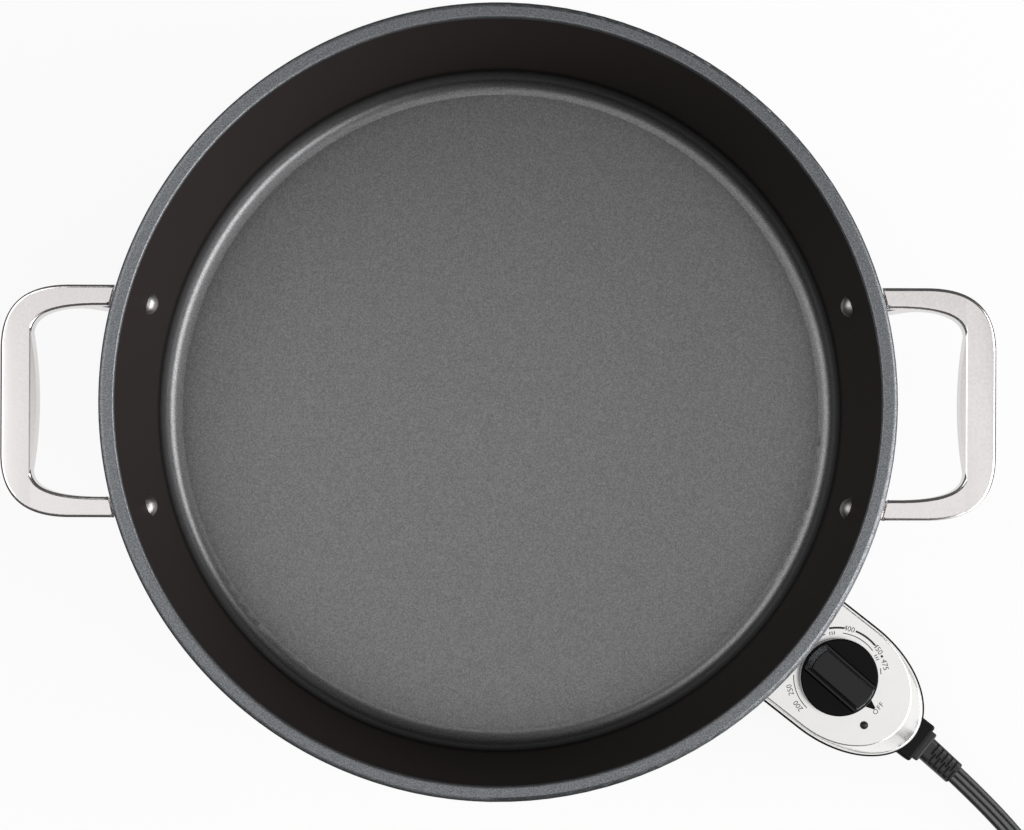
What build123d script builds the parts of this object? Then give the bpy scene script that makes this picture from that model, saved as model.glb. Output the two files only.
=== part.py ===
from build123d import *

import math
import os

# Electric skillet. Millimetres, +Z up, +X towards the right handle, origin on the pan's axis at
# table level. The temperature control is built in a frame of its own, u outwards from the pan's
# axis, v to its left and z up, and is then turned about the pan's axis to control_azimuth.

# Pan casting
stand_height = 30.0
floor_thickness = 4.5
pan_depth = 82.0
mouth_radius = 165.0
wall_draft = 6.2
wall_thickness = 3.5
cove_radius = 7.5
heel_radius = 11.0
rim_reach = 6.8
rim_depth = 5.6
rim_nose_radius = 2.2
rim_edge_radius = 1.2

# Heating element, cast into a ridge under the pan
element_drop = 7.0
element_setback = 24.0
element_tube_radius = 3.3
element_bend_radius = 14.0
ridge_cover = 2.2
ridge_flare = 1.6
casting_overlap = 1.0
pin_spacing = 28.0
pin_radius = 2.3
pin_grip = 10.0
pin_reach = 21.0
insulator_radius = 4.2
insulator_nose = 2.0
insulator_stand = 1.0

# Terminal boss with the probe well
boss_setback = 23.1
boss_margin = 6.5
boss_cover = 3.2
boss_corner_radius = 5.0
running_clearance = 0.08
well_end_gap = 0.5
well_end_wall = 4.0

# Feet
foot_setback = 23.1
foot_first_angle = 45.0
foot_step_angle = 90.0
foot_count = 4
foot_top_radius = 11.0
foot_base_radius = 9.5
foot_edge_radius = 1.2
foot_boss_radius = 6.0
foot_boss_drop = 8.0
seat_clearance = 0.1
foot_screw_radius = 2.0
foot_screw_head_radius = 3.8
foot_screw_head_height = 2.8
foot_screw_bite = 9.0
foot_counterbore_radius = 4.8
foot_counterbore_depth = 8.0

# Handles
handle_reach = 42.9
handle_half_width = 50.2
corner_arm_run = 30.0
corner_grip_run = 28.0
gap_corner_grip_run = 12.0
corner_fullness = 0.68
grip_width = 13.2
arm_width = 9.0
handle_drop = 4.0
grip_thickness = 8.5
handle_edge_radius = 1.5
arm_rim_gap = 1.0
arm_shoulder_radius = 2.8
arm_rim_drop = 3.0
arm_wall_gap = 1.0
arm_root_height = 11.0
arm_root_reach = 7.0
arm_root_bend_radius = 8.0
arm_level_reach = 11.2
arm_level_bend_radius = 10.0
arm_root_depth = 15.6
lip_swell = 2.4
lip_overlap = 2.0
lip_setback = 0.6
lip_slope = 20.0
lip_rise = 1.0
pad_width = 23.0
pad_height = 24.0
pad_thickness = 3.6
pad_corner_radius = 9.0
pad_edge_radius = 1.2

# Rivets
rivet_depth = 32.0
rivet_radius = 2.5
rivet_head_radius = 4.8
rivet_head_height = 3.3
rivet_bite = 5.5
rivet_clearance = 0.05

# Socket guard under the pan's edge
guard_end_gap = 2.0
guard_wall = 2.5
guard_floor = 2.5
guard_side_clearance = 1.3
guard_under_clearance = 0.8
guard_corner_radius = 3.0
guard_ear_length = 10.0
guard_ear_width = 9.5
guard_ear_thickness = 3.0
guard_ear_setback = 2.0
guard_screw_radius = 1.5
guard_screw_head_radius = 2.8
guard_screw_head_height = 2.0
guard_screw_bite = 3.0
probe_hole_clearance = 0.6

# Temperature control: housing
control_azimuth = -37.9
housing_gap = 1.7
housing_depth = 15.0
cover_height = 11.5
seam_clearance = 0.3
housing_side_room = 2.8
nose_offset = 2.3
cover_nose = 45.4
cover_lip = 0.6
cover_lip_height = 1.3
plateau_inset_side = 1.2
plateau_inset_nose = 10.0
cover_wall = 1.8
cover_top_thickness = 2.0
cover_edge_radius = 0.8
base_inset = 1.5
base_wall = 2.0
base_floor = 2.0
base_edge_radius = 3.0

# Temperature control: screws, terminal block and probe
post_radius = 3.5
post_gap = 0.5
nose_post_gap = 5.5
housing_screw_radius = 1.6
housing_screw_head_radius = 2.9
housing_screw_head_height = 2.2
housing_screw_sink = 4.0
housing_screw_length = 24.0
snout_gap = 3.0
snout_margin = 7.2
snout_half_height = 6.2
snout_edge_radius = 1.2
snout_flange_length = 3.0
snout_flange_lip = 1.8
probe_depth = 40.5
probe_radius = 3.15
probe_bore_radius = 2.2
probe_end_wall = 1.6
probe_flange_radius = 5.0
probe_flange_length = 2.0
rod_radius = 1.2
terminal_sleeve_radius = 3.2
terminal_sleeve_inset = 1.5
terminal_end_room = 3.0
terminal_tab_reach = 5.0
terminal_tab_width = 4.75
terminal_tab_thickness = 1.0

# Temperature control: knob and adjuster
knob_setback = 38.0
knob_radius = 18.0
knob_gap = 0.8
knob_skirt_height = 6.5
knob_bar_height = 9.0
knob_bar_foot_half = 8.5
knob_ledge_half = 7.5
knob_waist_half = 6.6
knob_crest_half = 5.5
knob_ledge_height = 2.2
knob_bar_setback = 0.7
knob_bar_end_slope = 2.2
knob_bar_edge_radius = 0.6
knob_bar_turn = -3.0
knob_skirt_edge_radius = 0.7
knob_recess_inner = 7.0
knob_skirt_wall = 2.0
knob_recess_depth = 4.5
knob_crown = 4.0
pointer_length = 4.4
pointer_half_width = 3.5
pointer_tip_half_width = 0.5
pointer_root = 3.0
pointer_height = 2.4
shaft_radius = 3.0
shaft_flat = 2.2
shaft_hole_clearance = 0.6
journal_radius = 2.0
collar_radius = 3.8
collar_height = 1.1
cam_height = 3.5
cam_start_radius = 4.5
cam_rise = 1.5
cam_sweep = 310.0
cam_start_angle = 180.0
cam_points = 14
clip_thickness = 1.0
clip_radius = 4.8
clip_groove_radius = 2.5
clip_mouth = 3.2

# Temperature control: thermostat and switch
plate_lift = 4.0
plate_thickness = 1.2
plate_front_gap = 5.0
plate_reach = 20.0
plate_right = -12.0
plate_left = 18.0
plate_corner_radius = 2.0
plate_post_radius = 3.0
plate_post_inset = 3.0
plate_spigot_radius = 1.5
plate_spigot_height = 0.6
tab_inset = 5.0
tab_half_width = 5.0
tab_rise = 4.0
bushing_flange_radius = 4.5
bushing_flange_height = 1.5
bushing_radius = 3.5
bushing_drop = 1.4
axial_gap = 0.2
follower_gap = 0.15
follower_radius = 1.0
pivot_offset = 6.6
pivot_v = 11.5
pivot_pin_radius = 1.5
pivot_pin_head_radius = 2.8
pivot_pin_head_height = 0.8
pivot_shoulder_radius = 2.6
lever_hub_radius = 3.5
contact_offset = 14.0
contact_travel = 3.1
contact_button_radius = 1.6
contact_button_height = 0.6
fixed_contact_length = 6.0
fixed_contact_depth = 6.2
fixed_contact_height = 4.0
spacer_radius = 2.9

# Temperature control: lamp
lens_offset = 23.8
lens_v = -10.2
lens_radius = 1.3
lens_crown = 0.7
bezel_wall = 0.6
bezel_crown = 0.35
bezel_drop = 3.0
lamp_radius = 2.0
lamp_length = 9.0
lamp_lead_radius = 0.35
lamp_lead_spacing = 2.0
lamp_lead_length = 5.0

# Cord outlet and strain relief
cord_drop = 1.0
cord_radius = 4.5
outlet_inset = 2.9
outlet_reach = 7.6
outlet_width = 20.5
outlet_height = 14.0
outlet_edge_radius = 1.4
relief_flange_length = 3.0
relief_flange_width = 15.7
relief_flange_height = 12.0
relief_flange_edge_radius = 1.0
relief_turn = -4.0
relief_overlap = 0.8
relief_sleeve_length = 18.2
relief_root_width = 11.8
relief_end_width = 11.2
relief_root_height = 10.2
relief_end_height = 9.4
relief_corner_radius = 3.0
relief_groove_count = 5
relief_groove_pitch = 3.0
relief_groove_start = 3.2
relief_groove_width = 1.2
relief_groove_depth = 0.9
relief_groove_past_middle = 0.8
relief_window_start = 4.4
relief_window_end = 5.1
relief_window_width = 0.8
relief_inner_flange_radius = 6.2
relief_inner_flange_length = 3.0
relief_neck_radius = 4.6

# Lead wires
wire_radius = 1.0
wire_bend_radius = 4.0
wire_spread = 3.0
wire_lane_gap = 1.0
wire_turn_run = 8.0
wire_end_run = 6.0
wire_side_rise = 2.0
wire_drop = 2.5

# Cord, in the pan's frame
lead_points = [
    (235.5, -187.5, 17.0),
    (258.5, -213.0, 8.5),
    (282.5, -242.5, 5.0),
    (303.0, -270.4, 6.0),
]
coil_centre = (262.0, -298.2)
coil_radius = 49.5
coil_width = 10.0
coil_bottom = 1.0
coil_height = 14.5
coil_edge_radius = 2.0
tail_points = [
    (257.7, -347.5, 10.8),
    (235.4, -346.3, 10.9),
    (213.4, -342.3, 10.95),
    (201.6, -339.2, 11.0),
]
run_share = 0.45
tie_angle = 190.0
tie_width = 8.0
tie_thickness = 1.0

# Plug, lying on its side
plug_length = 34.0
plug_width = 26.0
plug_height = 22.0
plug_corner_radius = 5.0
plug_back_width = 17.0
plug_back_height = 15.0
plug_face_length = 9.0
plug_edge_radius = 2.0
plug_tail_length = 12.0
plug_tail_radius = 6.2
blade_spacing = 12.7
blade_width = 6.35
blade_thickness = 1.5
blade_length = 17.0
blade_root = 8.0
blade_offset = -5.0
ground_offset = 6.9
ground_radius = 2.4
ground_length = 20.0


def inner_radius(z):
    """Radius of the pan's inner wall at a height."""
    return mouth_radius - (rim_z - z) * math.tan(math.radians(wall_draft))


def outer_radius(z):
    """Radius of the pan's outer wall at a height."""
    return inner_radius(z) + wall_thickness / math.cos(math.radians(wall_draft))


# Heights worked out from the sizes above
floor_z = stand_height + floor_thickness
rim_z = floor_z + pan_depth
handle_top = rim_z - handle_drop
rivet_z = rim_z - rivet_depth
element_z = stand_height - element_drop
snout_bottom = element_z - snout_half_height
snout_top = element_z + snout_half_height
guard_bottom = snout_bottom - guard_under_clearance - guard_floor
seam_z = snout_top + seam_clearance
housing_bottom = element_z - housing_depth
cover_top = seam_z + cover_height
plate_bottom = housing_bottom + base_floor + plate_lift
plate_top = plate_bottom + plate_thickness
bushing_top = plate_top + bushing_flange_height
collar_bottom = bushing_top + axial_gap
cam_bottom = collar_bottom + collar_height
cam_top = cam_bottom + cam_height
contact_z = (cam_bottom + cam_top) / 2
knob_bottom = cover_top + knob_gap
skirt_top = knob_bottom + knob_skirt_height
knob_top = skirt_top + knob_bar_height
shaft_top = knob_top - knob_crown
cord_z = element_z - cord_drop
coil_top = coil_bottom + coil_height

# Distances from the pan's axis worked out from the sizes above
rim_radius = mouth_radius + rim_reach
heel_line = outer_radius(stand_height)
boss_face = heel_line - boss_setback
foot_circle_radius = heel_line - foot_setback
element_radius = boss_face - element_setback
element_end = boss_face - insulator_nose
pin_tip = boss_face + pin_reach
probe_tip = boss_face - probe_depth
well_end = probe_tip - well_end_gap
boss_start = well_end - well_end_wall
housing_back = outer_radius(cover_top) + housing_gap
guard_end = housing_back - guard_end_gap
snout_tip = boss_face + guard_wall + snout_gap
sleeve_start = snout_tip + terminal_sleeve_inset
sleeve_end = pin_tip + terminal_end_room
snout_inner_end = housing_back + base_wall + snout_flange_length
probe_tail = snout_inner_end + probe_flange_length
terminal_tab_end = snout_inner_end + terminal_tab_reach
knob_axis = housing_back + knob_setback
nose_centre = knob_axis + nose_offset
back_post_u = snout_inner_end + post_radius + post_gap
plate_start = snout_inner_end + plate_front_gap
plate_end = knob_axis + plate_reach
nose_post_u = plate_end + nose_post_gap + post_radius
tab_u = plate_start + tab_inset
pivot_u = knob_axis - pivot_offset
contact_u = knob_axis + contact_offset
lens_u = knob_axis + lens_offset
base_tip = nose_centre + cover_nose - base_inset
outlet_start = base_tip - outlet_inset
outlet_end = base_tip + outlet_reach
relief_start = outlet_end + relief_flange_length
relief_end = relief_start + relief_sleeve_length * math.cos(math.radians(relief_turn))
relief_end_v = relief_sleeve_length * math.sin(math.radians(relief_turn))
relief_inner_end = outlet_start - relief_inner_flange_length
handle_tip = rim_radius + handle_reach
gap_end = handle_tip - grip_width
handle_root = outer_radius(rivet_z) - arm_root_depth

# Widths worked out from the sizes above
pin_v = pin_spacing / 2
ridge_radius = element_tube_radius + ridge_cover
boss_half_width = pin_v + boss_margin
snout_half_width = pin_v + snout_margin
guard_inner_half = snout_half_width + guard_side_clearance
guard_half_width = guard_inner_half + guard_wall
snout_lip_half = snout_half_width + snout_flange_lip
cover_half_width = snout_lip_half + housing_side_room + base_wall + base_inset
plateau_half_width = cover_half_width - plateau_inset_side
plateau_nose = cover_nose - plateau_inset_nose
back_post_v = plateau_half_width - cover_wall - post_radius
gap_half_width = handle_half_width - arm_width
arm_centre = handle_half_width - arm_width / 2
rivet_angle = math.degrees(math.asin(arm_centre / outer_radius(rivet_z)))
fixed_contact_v = pivot_v - follower_radius - contact_button_height - contact_travel
fixed_block_v = fixed_contact_v - contact_button_height
spacer_v = fixed_block_v - fixed_contact_depth / 2
bezel_radius = lens_radius + bezel_wall

parts = {}


def polygon(points):
    """Face with straight sides through points in its own plane."""
    return make_face(Polyline(*points, close=True))


def corner(face, x, y):
    """The face's corner nearest to a point in its plane."""
    return min(face.vertices(), key=lambda v: math.hypot(v.X - x, v.Y - y))


def rounded(face, corners):
    """Face with corners rounded, given as x, y and radius."""
    for x, y, radius in corners:
        face = fillet(corner(face, x, y), radius)
    return face


def prism(face, bottom, top):
    """Face drawn in the XY plane, raised from one height to another."""
    return extrude(Pos(0, 0, bottom) * face, top - bottom)


def spun(points, corners=()):
    """Solid of revolution about Z from a half section in radius and height."""
    return revolve(Plane.XZ * rounded(polygon(points), corners), Axis.Z)


def rod(start, end, radius):
    """Round bar between two points."""
    axis = Vector(*end) - Vector(*start)
    return extrude(Plane(origin=start, z_dir=axis) * Circle(radius), axis.length)


def post(u, v, bottom, top, radius):
    """Upright round bar."""
    return rod((u, v, bottom), (u, v, top), radius)


def block(u_range, v_range, z_range):
    """Box between two values on each axis."""
    size = [high - low for low, high in (u_range, v_range, z_range)]
    middle = [(high + low) / 2 for low, high in (u_range, v_range, z_range)]
    return Pos(*middle) * Box(*size)


def link(start, end, width, bottom, top):
    """Flat bar with round ends, between two points in plan."""
    run = math.dist(start, end)
    angle = math.degrees(math.atan2(end[1] - start[1], end[0] - start[0]))
    middle = Pos((start[0] + end[0]) / 2, (start[1] + end[1]) / 2, 0)
    return prism(middle * SlotCenterToCenter(run, width, rotation=angle), bottom, top)


def to_control(shape):
    """Turn a shape from the control's frame into the pan's."""
    return Rot(0, 0, control_azimuth) * shape


def keep(name, shape):
    """Name a finished piece of the pan."""
    parts[name] = shape


def keep_control(name, shape):
    """Name a finished piece that was built in the control's frame."""
    keep(name, to_control(shape))


# ---------------------------------------------------------------- pan and element


def element_path():
    """Ring with two bends into parallel leads, open towards the control."""
    bend_v = pin_v + element_bend_radius
    reach = element_radius + element_bend_radius
    bend_u = math.sqrt(reach**2 - bend_v**2)
    start = math.degrees(math.asin(bend_v / reach))
    turn = 90 - start
    edges = [
        Line((element_end, pin_v), (bend_u, pin_v)),
        CenterArc((bend_u, bend_v), element_bend_radius, 270, -turn),
        CenterArc((0, 0), element_radius, start, 360 - 2 * start),
        CenterArc((bend_u, -bend_v), element_bend_radius, 180 - start, -turn),
        Line((bend_u, -pin_v), (element_end, -pin_v)),
    ]
    return Pos(0, 0, element_z) * Wire(edges)


def element_section_plane():
    """Plane across the element's first end, its local y up."""
    return Plane(origin=(element_end, pin_v, element_z), x_dir=(0, -1, 0), z_dir=(-1, 0, 0))


def element_solid():
    """Sheathed element before its pins are let in."""
    return sweep(element_section_plane() * Circle(element_tube_radius), path=element_path())


def ridge_solid():
    """Ridge under the pan that the element is cast into."""
    height = stand_height + casting_overlap - element_z
    flank = polygon(
        [
            (-ridge_radius, 0),
            (ridge_radius, 0),
            (ridge_radius + ridge_flare, height),
            (-ridge_radius - ridge_flare, height),
        ]
    )
    return sweep(element_section_plane() * (flank + Circle(ridge_radius)), path=element_path())


def foot_places():
    """Plan positions of the feet in the control's frame."""
    angles = [math.radians(foot_first_angle + n * foot_step_angle) for n in range(foot_count)]
    return [(foot_circle_radius * math.cos(a), foot_circle_radius * math.sin(a)) for a in angles]


def rivet_frames(side):
    """Planes on the inner wall at one handle's rivets, normal outwards."""
    frames = []
    for angle in (-rivet_angle, rivet_angle):
        azimuth = math.radians(angle if side > 0 else 180 + angle)
        draft = math.radians(wall_draft)
        radius = inner_radius(rivet_z)
        origin = (radius * math.cos(azimuth), radius * math.sin(azimuth), rivet_z)
        level = math.cos(draft)
        normal = (level * math.cos(azimuth), level * math.sin(azimuth), -math.sin(draft))
        frames.append(Plane(origin=origin, z_dir=normal))
    return frames


def pan_shell():
    """Turned form of the casting: floor, cove, sloping wall and flat rim."""
    rim_bottom = rim_z - rim_depth
    foot_of_wall = inner_radius(floor_z)
    section = [
        (0, stand_height),
        (heel_line, stand_height),
        (outer_radius(rim_bottom), rim_bottom),
        (rim_radius, rim_bottom),
        (rim_radius, rim_z),
        (mouth_radius, rim_z),
        (foot_of_wall, floor_z),
        (0, floor_z),
    ]
    corners = [
        (heel_line, stand_height, heel_radius),
        (rim_radius, rim_bottom, rim_nose_radius),
        (rim_radius, rim_z, rim_nose_radius),
        (mouth_radius, rim_z, rim_edge_radius),
        (foot_of_wall, floor_z, cove_radius),
    ]
    return spun(section, corners)


def guard_screw_places():
    """Plan positions of the guard's two screws in the control's frame."""
    u = boss_face + guard_ear_setback + guard_ear_length / 2
    v = guard_half_width + guard_ear_width / 2
    return [(u, v), (u, -v)]


def pan_underside():
    """Ridge, terminal boss and foot bosses, and the holes in them, in the control's frame."""
    boss_length = boss_face - boss_start
    middle = Pos((boss_start + boss_face) / 2, 0)
    plan = middle * RectangleRounded(boss_length, 2 * boss_half_width, boss_corner_radius)
    join = stand_height + casting_overlap
    boss_bottom = element_z - probe_radius - boss_cover
    square_face = block(
        (boss_face - 2 * boss_corner_radius, boss_face),
        (-boss_half_width, boss_half_width),
        (boss_bottom, join),
    )
    boss = prism(plan, boss_bottom, join) + square_face
    bosses = [post(u, v, stand_height - foot_boss_drop, join, foot_boss_radius) for u, v in foot_places()]
    return ridge_solid() + boss + bosses


def pan_holes():
    """Everything cut out of the casting from below, in the control's frame."""
    holes = [element_solid()]
    for v in (pin_v, -pin_v):
        holes.append(rod((element_end, v, element_z), (boss_face, v, element_z), element_tube_radius))
    well_radius = probe_radius + running_clearance
    holes.append(rod((well_end, 0, element_z), (boss_face, 0, element_z), well_radius))
    foot_screw_start = stand_height - foot_boss_drop
    for u, v in foot_places():
        holes.append(post(u, v, foot_screw_start, foot_screw_start + foot_screw_bite, foot_screw_radius))
    for u, v in guard_screw_places():
        holes.append(post(u, v, stand_height, stand_height + guard_screw_bite, guard_screw_radius))
    return holes


def rivet_holes(side, depth):
    """Holes along the rivets' axes, through the wall and into one handle."""
    radius = rivet_radius + rivet_clearance
    return [extrude(frame * Circle(radius), depth, both=True) for frame in rivet_frames(side)]


def make_pan():
    """Pan casting, element, terminal pins and their insulators."""
    shell = pan_shell() + to_control(pan_underside())
    shell = shell - [to_control(hole) for hole in pan_holes()]
    for side in (1, -1):
        shell = shell - rivet_holes(side, 2 * wall_thickness)
    keep("pan_body", shell)

    pins = []
    insulators = []
    element = element_solid()
    for v in (pin_v, -pin_v):
        shank_end = (pin_tip - pin_radius, v, element_z)
        pin = rod((element_end - pin_grip, v, element_z), shank_end, pin_radius)
        pin = pin + Pos(*shank_end) * Sphere(pin_radius)
        nose = rod((element_end, v, element_z), (boss_face, v, element_z), element_tube_radius)
        collar_end = boss_face + guard_wall + insulator_stand
        collar = rod((boss_face, v, element_z), (collar_end, v, element_z), insulator_radius)
        element = element - pin
        pins.append(pin)
        insulators.append(nose + collar - pin)
    keep_control("heating_element", element)
    keep_control("terminal_pins", Compound(pins))
    keep_control("terminal_insulators", Compound(insulators))


# ---------------------------------------------------------------- feet and guard


def make_feet():
    """Moulded feet that cup the foot bosses, each with one screw from below."""
    screws = []
    bore_radius = foot_screw_radius + rivet_clearance
    cup_floor = stand_height - foot_boss_drop
    section = [(0, 0), (foot_base_radius, 0), (foot_top_radius, stand_height), (0, stand_height)]
    body = spun(section, [(foot_base_radius, 0, foot_edge_radius)])
    body = body - post(0, 0, cup_floor, stand_height, foot_boss_radius + seat_clearance)
    body = body - post(0, 0, 0, cup_floor, bore_radius)
    body = body - post(0, 0, 0, foot_counterbore_depth, foot_counterbore_radius)
    head_bottom = foot_counterbore_depth - foot_screw_head_height
    screw = post(0, 0, head_bottom, foot_counterbore_depth, foot_screw_head_radius)
    screw_top = cup_floor + foot_screw_bite
    screw = screw + post(0, 0, foot_counterbore_depth, screw_top, foot_screw_radius)
    for number, (u, v) in enumerate(foot_places(), start=1):
        keep_control(f"foot_{number}", Pos(u, v, 0) * body)
        screws.append(Pos(u, v, 0) * screw)
    keep_control("foot_screws", Compound(screws))


def make_guard():
    """U-shaped guard round the terminal pins, hung from the pan by two ears."""
    side = (-guard_half_width, guard_half_width)
    outer = block((boss_face, guard_end), side, (guard_bottom, stand_height))
    outer = fillet(outer.edges().filter_by(Axis.X).group_by(Axis.Z)[0], guard_corner_radius)
    cavity = block(
        (boss_face + guard_wall, guard_end),
        (-guard_inner_half, guard_inner_half),
        (guard_bottom + guard_floor, stand_height),
    )
    guard = outer - cavity
    ear_start = boss_face + guard_ear_setback
    ear_outer = guard_half_width + guard_ear_width
    ears = block(
        (ear_start, ear_start + guard_ear_length),
        (-ear_outer, ear_outer),
        (stand_height - guard_ear_thickness, stand_height),
    )
    guard = guard + (ears - cavity)
    for v in (pin_v, -pin_v):
        hole_end = boss_face + guard_wall
        guard = guard - rod((boss_face, v, element_z), (hole_end, v, element_z), insulator_radius)
    probe_hole = probe_radius + probe_hole_clearance
    guard = guard - rod((boss_face, 0, element_z), (boss_face + guard_wall, 0, element_z), probe_hole)
    screws = []
    ear_bottom = stand_height - guard_ear_thickness
    for u, v in guard_screw_places():
        guard = guard - post(u, v, ear_bottom, stand_height, guard_screw_radius)
        shank = post(u, v, ear_bottom, stand_height + guard_screw_bite, guard_screw_radius)
        head = post(u, v, ear_bottom - guard_screw_head_height, ear_bottom, guard_screw_head_radius)
        screws.append(shank + head)
    keep_control("socket_guard", guard)
    keep_control("guard_screws", Compound(screws))


# ---------------------------------------------------------------- handles


def loop_corner(x, half, grip_run):
    """Full corner of the loop, from the grip's side at x round to the arm's side."""
    ease = 1 - corner_fullness
    return Bezier(
        (x, half - grip_run),
        (x, half - grip_run * ease),
        (x - corner_arm_run * ease, half),
        (x - corner_arm_run, half),
    )


def handle_plan():
    """Loop of the handle seen from above, open where it meets the pan."""
    outer = loop_corner(handle_tip, handle_half_width, corner_grip_run)
    inner = loop_corner(gap_end, gap_half_width, gap_corner_grip_run)
    root_outer = (handle_root, handle_half_width)
    root_inner = (handle_root, gap_half_width)
    half = [
        outer,
        Line(outer @ 1, root_outer),
        Line(root_outer, root_inner),
        Line(root_inner, inner @ 1),
        inner,
    ]
    other_half = [mirror(edge, about=Plane.XZ) for edge in half]
    grip_outer = Line(outer @ 0, mirror(outer, about=Plane.XZ) @ 0)
    grip_inner = Line(inner @ 0, mirror(inner, about=Plane.XZ) @ 0)
    return make_face([*half, *other_half, grip_outer, grip_inner])


def handle_side():
    """Handle seen from the side: level grip, arms that drop under the rim to the rivets."""
    past_tip = handle_tip + grip_width
    level_from = rim_radius + arm_level_reach
    shoulder = rim_radius + arm_rim_gap
    under_rim = rim_z - rim_depth - arm_rim_drop
    at_wall = outer_radius(rivet_z)
    root_top = rivet_z + arm_root_height / 2
    root_bottom = rivet_z - arm_root_height / 2
    grip_bottom = handle_top - grip_thickness
    points = [
        (handle_root, root_bottom),
        (at_wall + arm_root_reach, root_bottom),
        (level_from, grip_bottom),
        (past_tip, grip_bottom),
        (past_tip, handle_top),
        (shoulder, handle_top),
        (shoulder, under_rim),
        (at_wall + arm_wall_gap, root_top),
        (handle_root, root_top),
    ]
    corners = [
        (at_wall + arm_root_reach, root_bottom, arm_root_bend_radius),
        (level_from, grip_bottom, arm_level_bend_radius),
        (shoulder, handle_top, arm_shoulder_radius),
    ]
    return rounded(polygon(points), corners)


def grip_lip():
    """Sloping crescent that widens the grip's middle towards the pan."""
    half = gap_half_width - gap_corner_grip_run
    swell_radius = (half**2 + lip_swell**2) / (2 * lip_swell)
    disk = Pos(gap_end - lip_swell + swell_radius, 0) * Circle(swell_radius)
    lip_end = gap_end + lip_overlap
    tip = gap_end - 2 * lip_swell
    bottom = handle_top - grip_thickness + lip_rise
    fall = (lip_setback + gap_end - tip) * math.tan(math.radians(lip_slope))
    section = polygon(
        [
            (tip, bottom),
            (lip_end, bottom),
            (lip_end, handle_top),
            (gap_end + lip_setback, handle_top),
            (tip, handle_top - fall),
        ]
    )
    return prism(disk, bottom, handle_top) & extrude(Plane.XZ * section, gap_half_width, both=True)


def pad(angle):
    """Pad of a handle arm, lying against the outer wall round its rivet."""
    azimuth = math.radians(angle)
    radius = outer_radius(rivet_z)
    inside = 2 * pad_thickness
    start = radius - inside
    normal = (math.cos(azimuth), math.sin(azimuth), 0)
    origin = (start * normal[0], start * normal[1], rivet_z)
    plane = Plane(origin=origin, x_dir=(-normal[1], normal[0], 0), z_dir=normal)
    outline = plane * RectangleRounded(pad_width, pad_height, pad_corner_radius)
    plate = extrude(outline, inside + pad_thickness)
    outer_face = plate.faces().sort_by(Axis(origin, normal))[-1]
    return fillet(outer_face.edges(), pad_edge_radius)


def wall_cone():
    """Outer wall of the pan as a solid cone, which the handles and rivets seat on."""
    low = rivet_z - 2 * pad_height
    high = rim_z - rim_depth
    return spun([(0, low), (outer_radius(low), low), (outer_radius(high), high), (0, high)])


def make_handles():
    """Cast loop handles and the rivets that hold them."""
    depth = handle_top + grip_thickness
    loop = prism(handle_plan(), 0, depth)
    side = extrude(Plane.XZ * handle_side(), handle_half_width, both=True)
    body = loop & side
    root_edges = body.edges().group_by(Axis.X)[0]
    body = fillet([edge for edge in body.edges() if edge not in root_edges], handle_edge_radius)
    body = body + grip_lip() + pad(rivet_angle) + pad(-rivet_angle)
    body = body - wall_cone()
    for side_name, side in (("right", 1), ("left", -1)):
        handle = body if side > 0 else Rot(0, 0, 180) * body
        handle = handle - rivet_holes(side, rivet_bite + wall_thickness)
        keep(f"handle_{side_name}", handle)
        rivets = []
        for frame in rivet_frames(side):
            shank = extrude(frame * Circle(rivet_radius), rivet_bite + wall_thickness)
            dome_radius = (rivet_head_radius**2 + rivet_head_height**2) / (2 * rivet_head_height)
            ball = frame * (Pos(0, 0, dome_radius - rivet_head_height) * Sphere(dome_radius))
            cap_depth = 2 * rivet_head_height
            cap_start = frame.offset(-cap_depth)
            cap = extrude(cap_start * Circle(rivet_head_radius), cap_depth + wall_thickness / 2)
            rivets.append((ball & cap) - parts["pan_body"] + shank)
        keep(f"rivets_{side_name}", Compound([rivet.solid() for rivet in rivets]))


# ---------------------------------------------------------------- control housing


def nose_outline(half_width, nose_length, back):
    """Housing outline in plan: straight sides that end in half an ellipse."""
    outline = [
        Line((back, -half_width), (nose_centre, -half_width)),
        EllipticalCenterArc((nose_centre, 0), nose_length, half_width, start_angle=-90, arc_size=180),
        Line((nose_centre, half_width), (back, half_width)),
        Line((back, half_width), (back, -half_width)),
    ]
    return make_face(outline)


def inset_outline(inset, back):
    """Housing outline drawn in by an even amount, with its own back."""
    return nose_outline(cover_half_width - inset, cover_nose - inset, back)


def housing_posts():
    """Plan positions of the housing's three screw posts."""
    return [(back_post_u, back_post_v), (back_post_u, -back_post_v), (nose_post_u, 0)]


def plate_posts():
    """Plan positions of the posts that carry the thermostat's plate."""
    ends = (plate_start + plate_post_inset, plate_end - plate_post_inset)
    sides = (plate_right + plate_post_inset, plate_left - plate_post_inset)
    return [(u, v) for u in ends for v in sides]


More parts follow.
